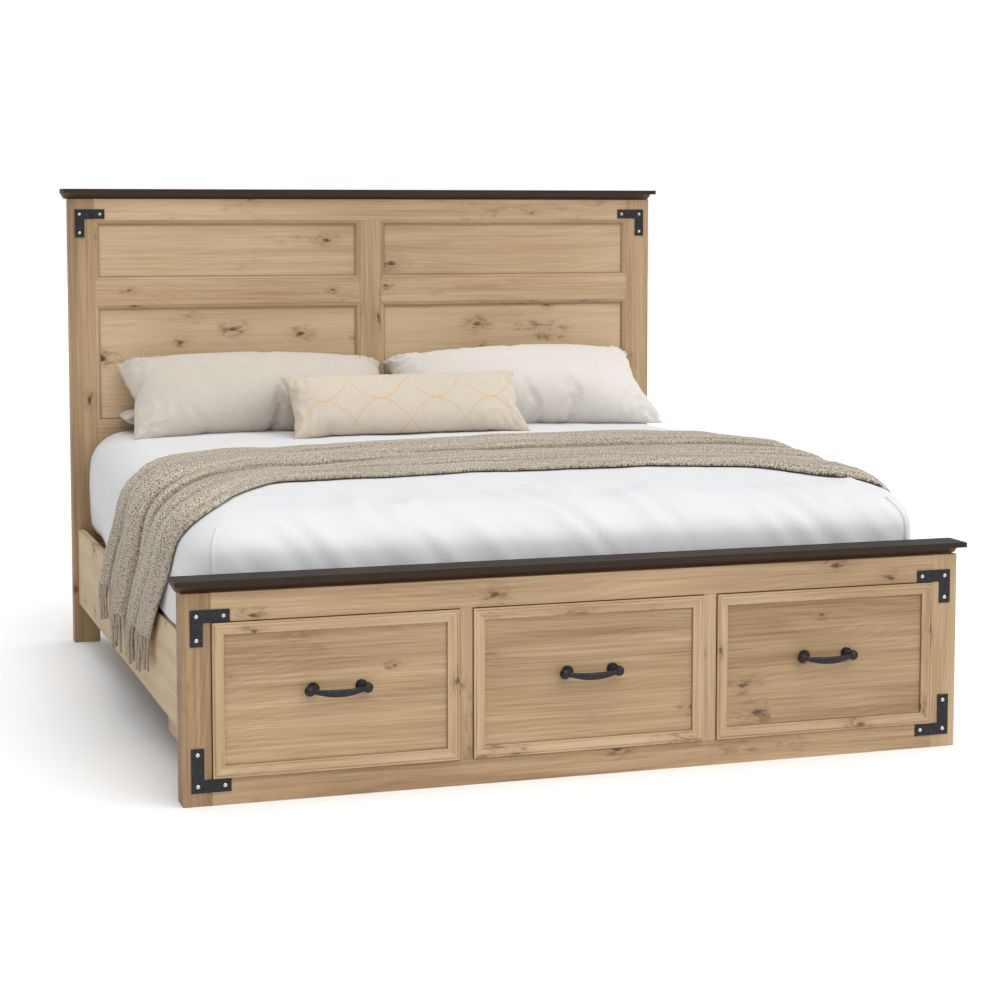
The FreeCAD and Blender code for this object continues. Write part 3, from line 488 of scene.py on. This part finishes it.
# ---- duvet and mattress ----------------------------------------------------------------------
def box_lattice(low, high, step, faces):
    """Points and quads on some faces of a box; faces holds any of -X +X -Y +Y -Z +Z."""
    low, high = np.array(low, float), np.array(high, float)
    count = np.maximum(2, np.round((high - low) / step).astype(int))
    index, keys, quads = {}, [], []

    def point(key):
        if key not in index:
            index[key] = len(keys)
            keys.append(key)
        return index[key]

    for face in faces:
        axis = "XYZ".index(face[1])
        u, v = [a for a in range(3) if a != axis]
        outward = (face[0] == "+") != (axis == 1)
        for i in range(count[u]):
            for j in range(count[v]):
                ring = []
                for du, dv in ((0, 0), (1, 0), (1, 1), (0, 1)):
                    key = [0, 0, 0]
                    key[axis] = count[axis] if face[0] == "+" else 0
                    key[u] = i + du
                    key[v] = j + dv
                    ring.append(point(tuple(key)))
                quads.append(ring if outward else ring[::-1])
    return low + (high - low) * np.array(keys, float) / count, quads


def round_off(points, low, high, radii, open_ends=()):
    """Round a box's edges and corners with elliptic radii, but not beside the open faces."""
    low, high, radii = np.array(low, float), np.array(high, float), np.array(radii, float)
    inner_low, inner_high = low + radii, high - radii
    for face in open_ends:
        axis = "XYZ".index(face[1])
        if face[0] == "+":
            inner_high[axis] = high[axis]
        else:
            inner_low[axis] = low[axis]
    core = np.clip(points, inner_low, inner_high)
    out = (points - core) / radii
    length = np.linalg.norm(out, axis=1, keepdims=True)
    return core + np.where(length > 1e-9, out / np.maximum(length, 1e-9), 0) * radii


def apply_modifiers(piece):
    """Replace the mesh by what its modifiers make of it."""
    graph = bpy.context.evaluated_depsgraph_get()
    made = bpy.data.meshes.new_from_object(piece.evaluated_get(graph))
    piece.modifiers.clear()
    old = piece.data
    piece.data = made
    bpy.data.meshes.remove(old)


def closed_skin(piece, thickness, offset=-1.0):
    """Give an open skin a thickness, so that it is a closed cloth."""
    solidify = piece.modifiers.new("cloth", "SOLIDIFY")
    solidify.thickness = thickness
    solidify.offset = offset
    apply_modifiers(piece)


def tube(path, radius, sides=8, closed=False):
    """Points and quads of a round cord along a path; radius is one number or one for each point."""
    path = np.asarray(path, float)
    count = len(path)
    radius = np.broadcast_to(radius, count)
    ahead = np.roll(path, -1, 0) - np.roll(path, 1, 0)
    if not closed:
        ahead[0], ahead[-1] = path[1] - path[0], path[-1] - path[-2]
    ahead /= np.linalg.norm(ahead, axis=1, keepdims=True)
    side = np.cross(ahead, (0.31, 0.22, 0.93))
    side /= np.linalg.norm(side, axis=1, keepdims=True)
    third = np.cross(ahead, side)
    angle = np.arange(sides) * 2 * math.pi / sides
    ring = np.cos(angle)[None, :, None] * side[:, None] + np.sin(angle)[None, :, None] * third[:, None]
    points = (path[:, None] + ring * radius[:, None, None]).reshape(-1, 3)
    faces = []
    for i in range(count if closed else count - 1):
        for j in range(sides):
            a, b = i * sides + j, i * sides + (j + 1) % sides
            c, d = ((i + 1) % count) * sides + (j + 1) % sides, ((i + 1) % count) * sides + j
            faces.append((a, b, c, d))
    if not closed:
        faces.append(tuple(range(sides))[::-1])
        faces.append(tuple((count - 1) * sides + j for j in range(sides)))
    return points, faces


DUVET_LOW = np.array((-0.986, -1.014, 0.388))
DUVET_HIGH = np.array((0.986, 1.030, 0.698))


def duvet_shape(points):
    """The duvet's swell, slump and creases, from its plain rounded tray."""
    x, y, z = points.T
    upper = smooth(z, 0.50, 0.68)
    side = 1 - smooth(z, 0.52, 0.66)
    across = np.clip(np.abs(x) / DUVET_HIGH[0], 0, 1)
    crown = 0.010 * (1 - across ** 2.2)
    slump = -0.030 * smooth(-y, 0.45, 1.0)
    soft = 0.004 * field(points, (2.2, 2.0, 2.2), 1)
    lumps = 0.0025 * field(points, (7.0, 6.0, 7.0), 2)
    rise = (crown + slump + soft + lumps) * upper
    # creases that fan out from the foot end, deeper towards the front edge
    foot = smooth(-y, 0.50, 0.88)
    slant = np.stack([x * 0.94 + y * 0.34 + 0.6 * z, y * 0.94 - x * 0.34, z * 0.0], axis=1)
    folds = 1 - np.abs(field(slant, (10.5, 3.2, 1.0), 3, 2))
    patches = smooth(field(points, (2.0, 2.0, 2.0), 4), -0.35, 0.20)
    crease = (0.014 * folds ** 3 - 0.005) * foot * patches
    bulge = 0.0045 * np.sin(np.pi * np.clip((z - DUVET_LOW[2]) / 0.28, 0, 1)) * side
    bulge = bulge + 0.003 * field(points, (1.0, 4.0, 2.0), 5) * side
    hem = 0.004 * np.sin(y * 21 + 2 * np.sin(y * 5)) * (1 - smooth(z, 0.39, 0.44))
    # the turned-back top layer ends in a line that runs down the left side
    line = 0.20 + 1.9 * (np.minimum(x, -0.70) + 0.78) + 0.25 * (z - 0.70)
    layer = 0.006 * (1 - smooth(y - line, -0.004, 0.006)) * smooth(-x, 0.55, 0.70)
    moved = points.copy()
    moved[:, 2] += rise + crease * upper + hem * (1 - upper) + layer * upper
    moved[:, 0] += np.sign(x) * (bulge + layer * 0.7) * smooth(np.abs(x), 0.80, 0.95)
    moved[:, 0] -= np.sign(x) * 0.036 * smooth(y, 0.15, 1.0) * smooth(np.abs(x), 0.5, 0.95)
    moved[:, 1] -= crease * (1 - smooth(y, -1.0, -0.9)) * 0.6
    # inside the side rails
    moved[:, 0] = np.clip(moved[:, 0], -0.9935, 0.9935)
    return moved


def make_duvet():
    """A quilt draped as a tray over the mattress, open at the head."""
    points, quads = box_lattice(DUVET_LOW, DUVET_HIGH, 0.016, ("+Z", "-X", "+X", "-Y"))
    points = round_off(points, DUVET_LOW, DUVET_HIGH, (0.125, 0.138, 0.105), ("+Y", "-Z"))
    return mesh_object("duvet_cover", duvet_shape(points), quads)


def make_corner_cords(duvet, material):
    """A thin corded seam down each front corner of the duvet."""
    tree = BVHTree.FromObject(duvet, bpy.context.evaluated_depsgraph_get())
    bottom, top = 0.41, 0.648
    for name, side in (("left", -1), ("right", 1)):
        path = []
        for z in np.linspace(bottom, top, 26):
            lean = 0.60 + 0.10 * (z - bottom) / 0.24
            away = Vector((side * lean, -1.0, 0.0)).normalized()
            hit = tree.ray_cast(Vector((side * 0.80, -0.80, z)), away)[0]
            path.append(tuple(hit + away * 0.002))
        points, faces = tube(path, 0.0052)
        cord = mesh_object(f"duvet_cord_{name}", points, faces)
        finish_piece(cord, material, "duvet_cotton")


def make_mattress(material):
    """A mattress with rounded edges, slightly full sides and a cord round its top and bottom edges."""
    low, high = (np.array(corner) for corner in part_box("mattress"))
    points, quads = box_lattice(low, high, 0.03, ("-X", "+X", "-Y", "+Y", "-Z", "+Z"))
    points = round_off(points, low, high, (0.11, 0.11, 0.06))
    points[:, 0] *= 0.985 - 0.04 * smooth(points[:, 1], 0.1, 1.0)
    middle_y = 0.017
    points[:, 1] = middle_y + (points[:, 1] - middle_y) * 0.985
    middle = (low[2] + high[2]) / 2
    level = np.abs(points[:, 2] - middle) / (high[2] - middle)
    points[:, :2] *= 1 + 0.004 * (1 - level[:, None] ** 2)
    mattress = mesh_object("mattress_block", points, quads)
    finish_piece(mattress, material, "ticking", "mattress")
    # the cord follows the block's own outline at each of two levels
    for number, height in enumerate((low[2] + 0.03, high[2] - 0.03)):
        angles = np.linspace(0, 2 * math.pi, 240, endpoint=False)
        tree = BVHTree.FromObject(mattress, bpy.context.evaluated_depsgraph_get())
        path = []
        for angle in angles:
            outward = Vector((math.cos(angle), math.sin(angle), 0))
            path.append(tuple(tree.ray_cast(Vector((0, middle_y, height)), outward)[0]))
        points, faces = tube(path, 0.005, closed=True)
        cord = mesh_object(f"mattress_cord_{number}", points, faces)
        finish_piece(cord, material, "ticking")


# ---- throw -----------------------------------------------------------------------------------
THROW_WIDE = 1.05
# distance along the throw from its left hem, then the places of its front and back edges
THROW_EDGES = np.array([
    (0.00, -0.480, 0.290), (0.13, -0.680, 0.130), (0.30, -0.885, 0.010), (0.40, -0.880, -0.060),
    (0.50, -0.700, 0.020), (0.64, -0.575, 0.120), (1.10, -0.545, 0.240), (1.70, -0.530, 0.250),
    (1.98, -0.600, 0.300), (2.16, -0.760, 0.290), (2.30, -0.860, 0.250), (2.50, -0.780, 0.290),
    (2.70, -0.600, 0.350),
])
THROW_LONG = THROW_EDGES[-1, 0]
# the cloth hangs at this |x|, clear of the side rails, down to its left hem at this height
HANG_X = 1.0015
HEM_LEVEL = 0.322


def eased(at, table, column):
    """A table's column at each place, with its corners smoothed."""
    fine = np.linspace(-0.2, THROW_LONG + 0.2, 600)
    value = np.interp(fine, table[:, 0], table[:, column])
    width = 41
    kernel = np.hanning(width)
    value = np.convolve(np.pad(value, width // 2, mode="edge"), kernel / kernel.sum(), "valid")
    return np.interp(at, fine, value)


def profile_at(tree, y):
    """The duvet's outline across the bed at one y, from below the left hem to below the right one."""
    centre = Vector((0, y, 0.45))
    hits = []
    for angle in np.linspace(math.radians(-2), math.radians(182), 150):
        hit = tree.ray_cast(centre, Vector((-math.cos(angle), 0, math.sin(angle))))[0]
        if hit is not None:
            hits.append((hit.x, hit.z))
    # below the shoulder the cloth hangs straight to clear the rail, not in to the duvet
    shoulder_x = 0.9845
    hung = []
    for x, z in hits:
        least = shoulder_x + (HANG_X - shoulder_x) * float(smooth(-z, -0.62, -0.40))
        hung.append((math.copysign(max(abs(x), least), x), z) if z < 0.60 else (x, z))
    left = [(-HANG_X, z) for z in np.arange(0.10, 0.39, 0.02)]
    right = [(HANG_X, z) for z in np.arange(0.38, 0.09, -0.02)]
    return np.array(left + hung + right)


def walk(outline, start_level):
    """Distance along an outline from where it first rises through start_level."""
    step = np.r_[0, np.cumsum(np.linalg.norm(np.diff(outline, axis=0), axis=1))]
    first = np.argmax(outline[:, 1] >= start_level)
    low, high = outline[first - 1, 1], outline[first, 1]
    share = (start_level - low) / (high - low)
    return step - (step[first - 1] + share * (step[first] - step[first - 1]))


def throw_height(along, v):
    """How far the throw stands off the duvet: rounded ridges along it, with sharp valleys between."""
    hang = 1 - smooth(along, 0.25, 0.60) + smooth(along, THROW_LONG - 0.5, THROW_LONG - 0.2)
    valleys = []
    for place, drift in ((0.0, 0.0), *THROW_FOLDS, (THROW_WIDE, 0.0)):
        valleys.append(place + drift * np.sin(along * FOLD_WAVE + place * FOLD_PHASE) + 0 * v)
    height = np.zeros(np.broadcast(along, v).shape)
    for number, (low, high) in enumerate(zip(valleys, valleys[1:])):
        t = np.clip((v - low) / (high - low), 0, 1)
        tall = 0.019 * (0.75 + 0.25 * np.sin(along * 4.1 + number * 2.3)) * (1 + 0.5 * hang)
        height = height + tall * np.sin(math.pi * t) ** 0.8
    return height


def tucked(v):
    """Each point's share of the way from front to back, and how many layers of cloth lie beneath it.

    At the tuck the cloth turns back under itself, then turns again and runs on to the rear.
    """
    at, deep = 0.62, 0.034
    place = v - 2 * np.clip(v - at, 0, deep)
    above = smooth(v, at - 0.010, at + 0.6 * deep) + smooth(v, at + 0.9 * deep, at + 2.3 * deep)
    return place / place[-1], 2 - above


def lay_on(duvet, along, y):
    """Points on the duvet's outline, from their distances along the throw and their y places."""
    tree = BVHTree.FromObject(duvet, bpy.context.evaluated_depsgraph_get())
    ys = np.linspace(-0.96, 0.42, 70)
    table = np.zeros((len(ys), len(along), 2))
    for row, place in enumerate(ys):
        outline = profile_at(tree, place)
        far = walk(outline, HEM_LEVEL)
        for part in (0, 1):
            table[row, :, part] = np.interp(along, far, outline[:, part])
    spot = np.clip((y - ys[0]) / (ys[-1] - ys[0]) * (len(ys) - 1), 0, len(ys) - 1.001)
    lower = spot.astype(int)
    share = (spot - lower)[:, :, None]
    rows = np.arange(len(along))[:, None]
    xz = table[lower, rows] * (1 - share) + table[lower + 1, rows] * share
    return np.stack([xz[:, :, 0], y, xz[:, :, 1]], axis=2)


def make_throw(duvet):
    """A heavy woven throw laid across the duvet, hanging down both sides, with a tuck along it."""
    along = np.linspace(0, THROW_LONG, 270)
    v = np.linspace(0, THROW_WIDE, 124)
    share, beneath = tucked(v)
    front = eased(along, THROW_EDGES, 1)
    rear = eased(along, THROW_EDGES, 2)
    y = front[:, None] + (rear - front)[:, None] * share[None, :]
    y += 0.010 * np.sin(along * 6.1)[:, None] * np.sin(v * 5.0)[None, :]
    points = lay_on(duvet, along, y)
    # stand the cloth off the duvet by its folds, by the layers beneath it and by a slight unevenness
    out = np.gradient(points[:, :, (0, 2)], axis=0)
    normal = np.stack([-out[:, :, 1], np.zeros_like(y), out[:, :, 0]], axis=2)
    normal /= np.linalg.norm(normal, axis=2, keepdims=True)
    stack = 0.009 * beneath * smooth(v, 0.36, 0.60)
    uneven = field(points.reshape(-1, 3), (9, 9, 9), 6).reshape(y.shape)
    reach = smooth(along, 0.0, 0.12) * smooth(THROW_LONG - along, 0.0, 0.12)
    stand = 0.0035 + throw_height(along[:, None], v[None, :]) + stack[None, :]
    stand = stand + 0.0009 * (1 + uneven) * reach[:, None]
    points += normal * stand[:, :, None]
    # the hem rises and falls a little, and steps at the tuck
    hem = 0.003 * np.sin(v * 9) + 0.010 - 0.016 * beneath
    sag = 2 - smooth(along, 0.0, 0.30) - smooth(THROW_LONG - along, 0.0, 0.30)
    points[:, :, 2] += sag[:, None] * hem[None, :]
    uv = np.stack(np.broadcast_arrays(along[:, None], v[None, :]), axis=2).reshape(-1, 2)
    throw = mesh_object("throw_cloth", points.reshape(-1, 3), grid_faces(len(along), len(v)), uv)
    closed_skin(throw, 0.0055, 1.0)
    return throw, points


TASSELS = 62
TASSEL_LONG, TASSEL_THICK = 0.106, 0.0046
TASSEL_POINTS = 15


def make_tassel(root, down, number, chance):
    """Points and quads of one twisted tassel that leaves the hem at root and bends to hang down."""
    out = -1.0 if root[0] < 0 else 1.0
    start = root - down * 0.004 + np.array((out * 0.003, 0, 0))
    long = TASSEL_LONG + chance.uniform(-0.016, 0.006)
    lean = chance.uniform(-0.018, 0.018) + 0.008 * math.sin(number * 0.9)
    wave = chance.uniform(0.6, 1.6)
    phase = chance.uniform(0, 6.28)
    path = []
    for k in range(TASSEL_POINTS):
        t = k / (TASSEL_POINTS - 1)
        drop = start + (down * (1 - t) + np.array((0, 0, -1.0)) * t) * long * t
        drop[1] += lean * t * t + 0.0034 * math.sin(phase + t * 7 * wave) * t
        # clear of the side rail
        drop[0] = out * max(abs(drop[0]), 1.0005) + out * 0.0012 * math.sin(phase + t * 5)
        path.append(drop)
    k = np.arange(TASSEL_POINTS)
    taper = 1 - 0.20 * k / (TASSEL_POINTS - 1)
    return tube(path, TASSEL_THICK * taper * (1 + 0.20 * np.sin(k * 2.1 + phase)), 7)


def make_fringe(points, material):
    """Twisted tassels along both hems of the throw."""
    chance = random.Random(7)
    all_points, all_faces, uv = [], [], []
    for end, inward in ((0, 3), (-1, -4)):
        hem, above = points[end], points[inward]
        steps = np.r_[0, np.cumsum(np.linalg.norm(np.diff(hem, axis=0), axis=1))]
        for i in range(TASSELS):
            at = (i + 0.5 + chance.uniform(-0.2, 0.2)) / TASSELS * steps[-1]
            root = np.array([np.interp(at, steps, hem[:, k]) for k in range(3)])
            before = np.array([np.interp(at, steps, above[:, k]) for k in range(3)])
            down = (root - before) / np.linalg.norm(root - before)
            ring, faces = make_tassel(root, down, i, chance)
            base = sum(len(p) for p in all_points)
            all_points.append(ring)
            all_faces += [tuple(base + n for n in face) for face in faces]
            uv += [(i * 0.02 + 0.004 * (n % 7), (n // 7) * 0.008) for n in range(len(ring))]
    fringe = mesh_object("throw_fringe", np.concatenate(all_points), all_faces, uv)
    finish_piece(fringe, material, "throw_knit")


# ---- pillows ---------------------------------------------------------------------------------
# length, depth and thickness when filled
BIG_PILLOW = (0.905, 0.435, 0.245)
UNDER_PILLOW = (0.893, 0.158, 0.084)
LUMBAR_PILLOW = (0.79, 0.262, 0.112)
FILL_FRAMES = 22


def cushion(name, size, seed, cells=(64, 34)):
    """A sewn bag blown up by its filling, then scaled to size (long, deep, thick); uv in metres."""
    long, deep, thick = size
    nx, ny = cells
    xs = np.linspace(-0.5, 0.5, nx + 1)
    ys = np.linspace(-0.5, 0.5, ny + 1)
    flat_long, flat_deep = long * 1.03, deep * 1.16
    points, index, uv = [], {}, []
    for layer in (1, -1):
        for j, b in enumerate(ys):
            for i, a in enumerate(xs):
                rim = i in (0, nx) or j in (0, ny)
                if rim and layer == -1:
                    index[(-1, i, j)] = index[(1, i, j)]
                    continue
                index[(layer, i, j)] = len(points)
                lift = 0.004 + 0.10 * thick * (1 - (2 * a) ** 4) * (1 - (2 * b) ** 4)
                points.append((a * flat_long, b * flat_deep, 0.0 if rim else layer * lift))
                uv.append((a * long, b * deep))
    points = np.array(points)
    points[:, 2] += 0.0006 * field(points, (30, 30, 30), seed)
    faces = []
    for layer in (1, -1):
        for j in range(ny):
            for i in range(nx):
                quad = [index[(layer, i, j)], index[(layer, i + 1, j)],
                        index[(layer, i + 1, j + 1)], index[(layer, i, j + 1)]]
                faces.append(quad if layer == 1 else quad[::-1])
    bag = mesh_object(name, points, faces, uv)
    cloth = bag.modifiers.new("fill", "CLOTH")
    settings = cloth.settings
    settings.quality = 5
    settings.mass = 0.25
    settings.tension_stiffness = 18
    settings.compression_stiffness = 12
    settings.shear_stiffness = 4
    settings.bending_stiffness = 0.35
    settings.use_pressure = True
    settings.uniform_pressure_force = 7.0
    settings.effector_weights.gravity = 0.0
    cloth.point_cache.frame_start = 1
    cloth.point_cache.frame_end = FILL_FRAMES
    for number in range(1, FILL_FRAMES + 1):
        scene.frame_set(number)
    apply_modifiers(bag)
    scene.frame_set(1)
    shape = points_of(bag)
    low, high = shape.min(0), shape.max(0)
    shape = (shape - (low + high) / 2) / (high - low) * np.array((long, deep, thick))
    smoothing = bag.modifiers.new("finer", "SUBSURF")
    smoothing.levels = 1
    smoothing.render_levels = 1
    set_points(bag, shape)
    apply_modifiers(bag)
    set_points(bag, gathers(points_of(bag), size, seed))
    return bag


def gathers(shape, size, seed):
    """Small creases that fan in from a cushion's corners and across its long seams."""
    long, deep, thick = size
    tall = 0.065 * thick
    x, y, z = shape.T
    creases = np.zeros(len(shape))
    for right in (-1, 1):
        for top in (-1, 1):
            inward, up = long / 2 - right * x, deep / 2 - top * y
            far = np.hypot(inward, up)
            angle = np.arctan2(up, inward) + 0.25 * np.sin(far * 40 + seed)
            fan = 1 - np.abs(np.sin(angle * 7.5 + seed * right + 2 * top))
            creases += tall * (fan ** 2 - 0.3) * smooth(far, 0.01, 0.06) * (1 - smooth(far, 0.05, 0.21))
    edge = deep / 2 - np.abs(y)
    seam = np.sin(x * 150 + 3 * np.sin(x * 17 + seed)) * field(shape, (6.0, 3.0, 1.0), seed + 30)
    creases += 0.4 * tall * seam * (1 - smooth(edge, 0.01, 0.08))
    shape[:, 2] += np.sign(z) * creases * smooth(np.abs(z), 0.0, 0.02)
    return shape


def pressed(place, limit):
    """Squash what lies past a limit down to a small part of its depth."""
    return limit + (place - limit) * 0.12


def settle(bag, centre, tilt, turn, floor_level, droop=0.0, wall=None):
    """Lean a cushion back, put it in place, and flatten it where it meets the bed and headboard."""
    shape = points_of(bag)
    half = np.abs(shape[:, 0]).max()
    shape[:, 2] -= droop * (np.abs(shape[:, 0]) / half) ** 3
    spin = Matrix.Rotation(turn, 3, "Y") @ Matrix.Rotation(tilt, 3, "X")
    shape = shape @ np.array(spin).T + np.array(centre)
    under = shape[:, 2] < floor_level
    shape[under, 2] = pressed(shape[under, 2], floor_level)
    if wall is not None:
        past = shape[:, 1] > wall
        shape[past, 1] = pressed(shape[past, 1], wall)
    set_points(bag, shape)


def finish_pillow(bag, material, slot, node):
    """A pillow's material, body and CAD node, through finish_piece; slot is passed on but not used."""
    finish_piece(bag, material, slot, node)


def make_pillows(material, pale, printed):
    """Two big pillows leant on the headboard, one more under the left one, and a lumbar pillow."""
    big = (("left", -0.417, 3, 0.010, material), ("right", 0.484, 8, -0.012, pale))
    for name, x, seed, turn, cloth in big:
        bag = cushion("pillow_" + name + "_case", BIG_PILLOW, seed)
        settle(bag, (x, 0.862, 0.822), math.radians(32), turn, 0.702, droop=0.030, wall=1.046)
        finish_pillow(bag, cloth, "linen", "pillow_" + name)
    bag = cushion("pillow_under_case", UNDER_PILLOW, 5, (56, 12))
    settle(bag, (-0.412, 0.980, 0.746), 0.0, 0.0, 0.704)
    finish_pillow(bag, material, "linen", "pillow_under_left")
    bag = cushion("pillow_lumbar_case", LUMBAR_PILLOW, 6, (60, 22))
    settle(bag, (-0.006, 0.588, 0.802), math.radians(47), -0.006, 0.700, droop=0.006)
    finish_pillow(bag, printed, "printed_cotton", "pillow_lumbar")


def trellis(name):
    """Light woven cotton with a generic trellis of thin wavy gold lines."""
    material = woven(name, rgb(212, 201, 185), rgb(190, 178, 160), thread=0.0014, slub=0.6, depth=0.0004)
    paint = Paint.again(material)
    place = paint.add("TexCoord", out=UV)
    wobble = paint.noise(place, (14.0, 14.0, 0.0), 2.0)
    u, v, _ = paint.split(place)
    u = paint.math("MULTIPLY_ADD", wobble, 0.014, u)
    v = paint.math("MULTIPLY_ADD", wobble, 0.012, v)
    repeat, swing = 0.36, 0.072
    turn = paint.math("MULTIPLY", u, 2 * math.pi / repeat)
    wave = paint.math("MULTIPLY", paint.math("SINE", turn), swing)
    lines = []
    for way in (1.0, -1.0):
        level = paint.math("MULTIPLY_ADD", wave, way, paint.math("ADD", v, 0.3))
        folded = paint.math("PINGPONG", level, 2 * swing)
        gap = paint.math("ABSOLUTE", paint.math("SUBTRACT", folded, swing))
        lines.append(paint.step(gap, 0.0036, 0.0018))
    broken = paint.step(paint.noise(place, (260.0, 260.0, 0.0), 3.0), 0.36, 0.52)
    drawn = paint.math("MULTIPLY", paint.math("MAXIMUM", *lines), broken)
    drawn = paint.math("MULTIPLY", drawn, 0.85)
    paint.set("Base_Color", paint.mix(drawn, paint.own_colour(), rgb(209, 168, 112)))
    return material


# ---- camera, floor and light -----------------------------------------------------------------
def studio():
    """The camera, a plain pale floor and one broad light from above the foot."""
    camera = bpy.data.objects.new("camera", bpy.data.cameras.new("camera"))
    scene.collection.objects.link(camera)
    camera.data.sensor_width = 36
    camera.data.lens = 80.71
    camera.data.shift_y = -0.10
    camera.data.clip_end = 200
    camera.location = (-1.9214, -6.2947, 1.4093)
    camera.rotation_euler = (math.radians(90 - 4.785), 0, math.radians(-17.948))
    scene.camera = camera

    corners = [(-40, -40, 0), (40, -40, 0), (40, 40, 0), (-40, 40, 0)]
    floor = mesh_object("floor", corners, [(0, 1, 2, 3)])
    paint = Paint("floor_pale", Roughness=0.9, Specular_IOR_Level=0.1)
    paint.set("Base_Color", (0.96, 0.96, 0.96, 1.0))
    floor.data.materials.append(paint.material)

    sun = bpy.data.objects.new("key_light", bpy.data.lights.new("key_light", "SUN"))
    scene.collection.objects.link(sun)
    sun.data.energy = 1.90
    sun.data.angle = math.radians(70)
    sun.rotation_euler = Vector((0.12, -0.40, 0.91)).to_track_quat("Z", "Y").to_euler()
    scene.view_settings.view_transform = "Standard"


def sky():
    """A soft sky, dimmer from the left than from overhead and the right; the camera sees plain white."""
    world = bpy.data.worlds.new("sky")
    scene.world = world
    world.use_nodes = True
    world_nodes, link = world.node_tree.nodes, world.node_tree.links.new
    background = world_nodes["Background"]
    background.inputs["Color"].default_value = (0.97, 0.98, 1.0, 1.0)
    aim = world_nodes.new("ShaderNodeTexCoord")
    parts = world_nodes.new("ShaderNodeSeparateXYZ")
    dim = world_nodes.new("ShaderNodeMapRange")
    for socket, value in {"From Min": -0.9, "From Max": 0.1, "To Min": 0.36, "To Max": 0.83}.items():
        dim.inputs[socket].default_value = value
    link(aim.outputs["Generated"], parts.inputs[0])
    link(parts.outputs[0], dim.inputs[0])
    link(dim.outputs[0], background.inputs["Strength"])
    white = world_nodes.new("ShaderNodeBackground")
    white.inputs["Color"].default_value = (1.0, 1.0, 1.0, 1.0)
    white.inputs["Strength"].default_value = 1.0
    seen = world_nodes.new("ShaderNodeLightPath")
    mix = world_nodes.new("ShaderNodeMixShader")
    link(seen.outputs["Is Camera Ray"], mix.inputs[0])
    link(background.outputs[0], mix.inputs[1])
    link(white.outputs[0], mix.inputs[2])
    link(mix.outputs[0], world_nodes["World Output"].inputs[0])


studio()
sky()
dress_frame()
cotton = woven("duvet_cotton", rgb(220, 220, 220), rgb(211, 211, 212),
               thread=0.0008, slub=0.2, depth=0.0002, sheen=0.1, uv=False)
ticking = woven("ticking", rgb(232, 229, 222), rgb(214, 211, 203),
                thread=0.0016, slub=0.4, depth=0.0005, sheen=0.1, uv=False)
linen = woven("linen", rgb(206, 198, 187), rgb(184, 175, 163), thread=0.0013, slub=0.7, depth=0.0005)
pale_linen = woven("pale_linen", rgb(220, 215, 208), rgb(200, 194, 186),
                   thread=0.0013, slub=0.7, depth=0.0005)
knit = knitted("throw_knit")
yarn = woven("throw_yarn", rgb(190, 177, 156), rgb(138, 124, 103), thread=0.0022, slub=0.9, depth=0.0008)

duvet = make_duvet()
throw, throw_points = make_throw(duvet)
make_corner_cords(duvet, cotton)
closed_skin(duvet, 0.016)
finish_piece(duvet, cotton, "duvet_cotton", "duvet")
make_mattress(ticking)
finish_piece(throw, knit, "throw_knit", "throw")
make_fringe(throw_points, yarn)
make_pillows(linen, pale_linen, trellis("printed_cotton"))
